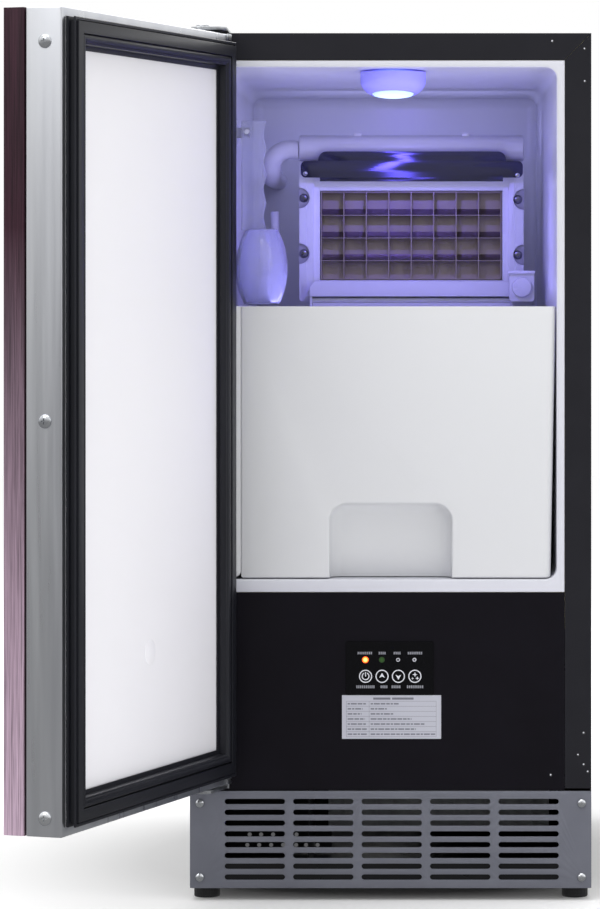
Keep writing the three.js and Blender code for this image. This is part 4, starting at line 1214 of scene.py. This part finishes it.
def makeMachineShadeSheet():
    p = ventShadeSheet
    low = nodeBox("side_panel_left")[1][0]
    sheet = startBlock("machine_space_shade_sheet", (low + 1, p["y"], p["z"][0]),
                       (p["right"], p["y"] + 1, p["z"][1]))
    edge = startBlock("edge", (-77.6, 40, p["z"][0]), (-76.6, p["y"] + 0.5, p["z"][1]))
    carve(sheet, edge, "UNION")
    fitCase(softEdges(sheet, 0.2, 1), "blackPlastic", "black_plastic")
    # glowing grey discs on the black sheet: painted light
    dots = []
    for z, across in p["rows"]:
        for x in across:
            dot = turned("dot", [(0.02, 0), (p["dot"], 0), (p["dot"] * 0.8, 0.3), (0.02, 0.32)], 14)
            dots.append(moved(dot, mm(x, p["y"] + 0.05, z), (90, 0, 0)))
    fitCase(joined("machine_space_vent_glow", dots), "vent", "black_plastic")


makeGrille()
makeMachineShadeSheet()
makeFeet()
print("grille and feet made")


def areaLight(name, position, target, size, power, colour=(1, 1, 1)):
    bpy.ops.object.light_add(type="AREA", location=position)
    light = bpy.context.object
    light.name = name
    light.data.shape = "RECTANGLE"
    light.data.size, light.data.size_y = size
    light.data.energy = power
    light.data.color = colour
    direction = Vector(target) - Vector(position)
    light.rotation_euler = direction.to_track_quat("-Z", "Y").to_euler()
    return light


def makeSky():
    # white to the lens and for the soft fill; in mirror reflections dark in front and bright above and behind
    world = bpy.data.worlds.new("studio")
    world.use_nodes = True
    bpy.context.scene.world = world
    tree = world.node_tree
    background = tree.nodes["Background"]
    background.inputs["Color"].default_value = (1, 1, 1, 1)
    direction = addNode(tree, "ShaderNodeTexCoord")
    split = addNode(tree, "ShaderNodeSeparateXYZ", None, {"Vector": direction.outputs["Generated"]})
    behind = addNode(tree, "ShaderNodeMapRange", {"From Min": -0.9, "From Max": 0.8, "To Min": 0.27,
                                                  "To Max": 0.75}, {"Value": split.outputs["Y"]})
    above = addNode(tree, "ShaderNodeMapRange", {"From Min": -0.02, "From Max": 0.4, "To Min": 0.0,
                                                 "To Max": 0.75}, {"Value": split.outputs["Z"]})
    mirrored = addNode(tree, "ShaderNodeMath", {"operation": "ADD"},
                       {0: behind.outputs[0], 1: above.outputs[0]})
    rays = addNode(tree, "ShaderNodeLightPath")
    fill = addNode(tree, "ShaderNodeMix", {"data_type": "FLOAT", 2: 0.63},
                   {0: rays.outputs["Is Glossy Ray"], 3: mirrored.outputs[0]})
    seen = addNode(tree, "ShaderNodeMix", {"data_type": "FLOAT", 3: 1.0},
                   {0: rays.outputs["Is Camera Ray"], 2: fill.outputs[0]})
    tree.links.new(seen.outputs[0], background.inputs["Strength"])


def makeStudio():
    deselectAll()
    bpy.ops.mesh.primitive_plane_add(size=16, location=(0, 0, 0))
    floor = bpy.context.object
    floor.name = "studio_floor"
    made, tree, shader, coords = newMaterial("paleFloor", Roughness=0.9, Base_Color=hexColour("FDFDFD"),
                                             Specular_IOR_Level=0.0, Emission_Color=(1, 1, 1, 1),
                                             Emission_Strength=0.27)
    spread = addNode(tree, "ShaderNodeVectorMath", {"operation": "DISTANCE", 1: (0.06, 0.19, 0)}, {0: coords})
    # painted light: the floor glows by itself away from the cabinet but not under it, so the cabinet's shadow
    # stays dark
    floorGlowRing = addNode(tree, "ShaderNodeMapRange", {"From Min": 0.24, "From Max": 0.55, "To Min": 0.0,
                                                "To Max": 0.36}, {"Value": spread.outputs["Value"]})
    tree.links.new(floorGlowRing.outputs[0], shader.inputs["Emission Strength"])
    rays = addNode(tree, "ShaderNodeLightPath")
    dim = addNode(tree, "ShaderNodeEmission", {"Strength": 0.3})
    mix = addNode(tree, "ShaderNodeMixShader", None, {0: rays.outputs["Is Glossy Ray"], 1: shader.outputs[0],
                                                      2: dim.outputs[0]})
    tree.links.new(mix.outputs[0], tree.nodes["Material Output"].inputs["Surface"])
    floor.data.materials.append(made)
    makeSky()
    centre = Vector((0, 0, 0.45))
    areaLight("topSoftbox", (-0.4, -0.6, 3.0), centre, (3.0, 2.2), 42)
    areaLight("leftSoftbox", (-2.0, -2.6, 2.3), Vector((-0.2, 0, 0.8)), (1.2, 0.9), 11)
    areaLight("rightSoftbox", (2.8, -1.8, 1.5), centre, (1.2, 2.0), 4)
    fill = areaLight("chamberFill", (1.1, -2.4, 0.8), Vector((0, 0.2, 0.6)), (0.9, 0.9), 5)
    fill.visible_glossy = False
    areaLight("rearSoftbox", (0.5, 3.0, 2.0), centre, (2.0, 1.6), 16)
    lens = (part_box("lamp_lens")[0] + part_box("lamp_lens")[1]) / 2
    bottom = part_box("lamp_lens")[0].z - 0.003
    for i in range(3):
        across = place(-3.2 + 8.6 * i, 0, 0).x
        bpy.ops.object.light_add(type="SPOT", location=(across, lens.y - 0.004, bottom))
        lamp = bpy.context.object
        lamp.name = f"chamberLamp{i + 1}"
        lamp.data.energy = 0.55
        lamp.data.color = (0.22, 0.17, 1.0)
        lamp.data.spot_size = math.radians(150)
        lamp.data.spot_blend = 1.0
        lamp.data.shadow_soft_size = 0.0014
        lamp.rotation_euler = (math.radians(26), 0, 0)
    # the white bin throws the lamp's light back up at the ceiling and the walls
    upward = areaLight("binBounce", place(4, 100, 556), place(4, 100, 760), (0.24, 0.13), 0.32,
                       (0.42, 0.4, 1.0))
    upward.rotation_euler = (math.pi, 0, 0)
    rearward = areaLight("rearBounce", place(8, 310, 728), place(8, 438, 740), (0.24, 0.03), 0.1,
                         (0.5, 0.5, 1.0))
    for light in (upward, rearward):
        light.visible_glossy = False
        light.visible_camera = False
    scene = bpy.context.scene
    scene.view_settings.view_transform = "Standard"
    bpy.ops.object.camera_add(location=place(37.4, -3527.6, 566.4), rotation=(math.pi / 2, 0, 0))
    camera = bpy.context.object
    camera.data.lens = 150.3
    camera.data.sensor_width = 36
    camera.data.sensor_fit = "AUTO"
    camera.data.shift_x = -0.144
    camera.data.shift_y = -0.180
    camera.data.clip_end = 100
    scene.camera = camera


makeStudio()
print("studio made")
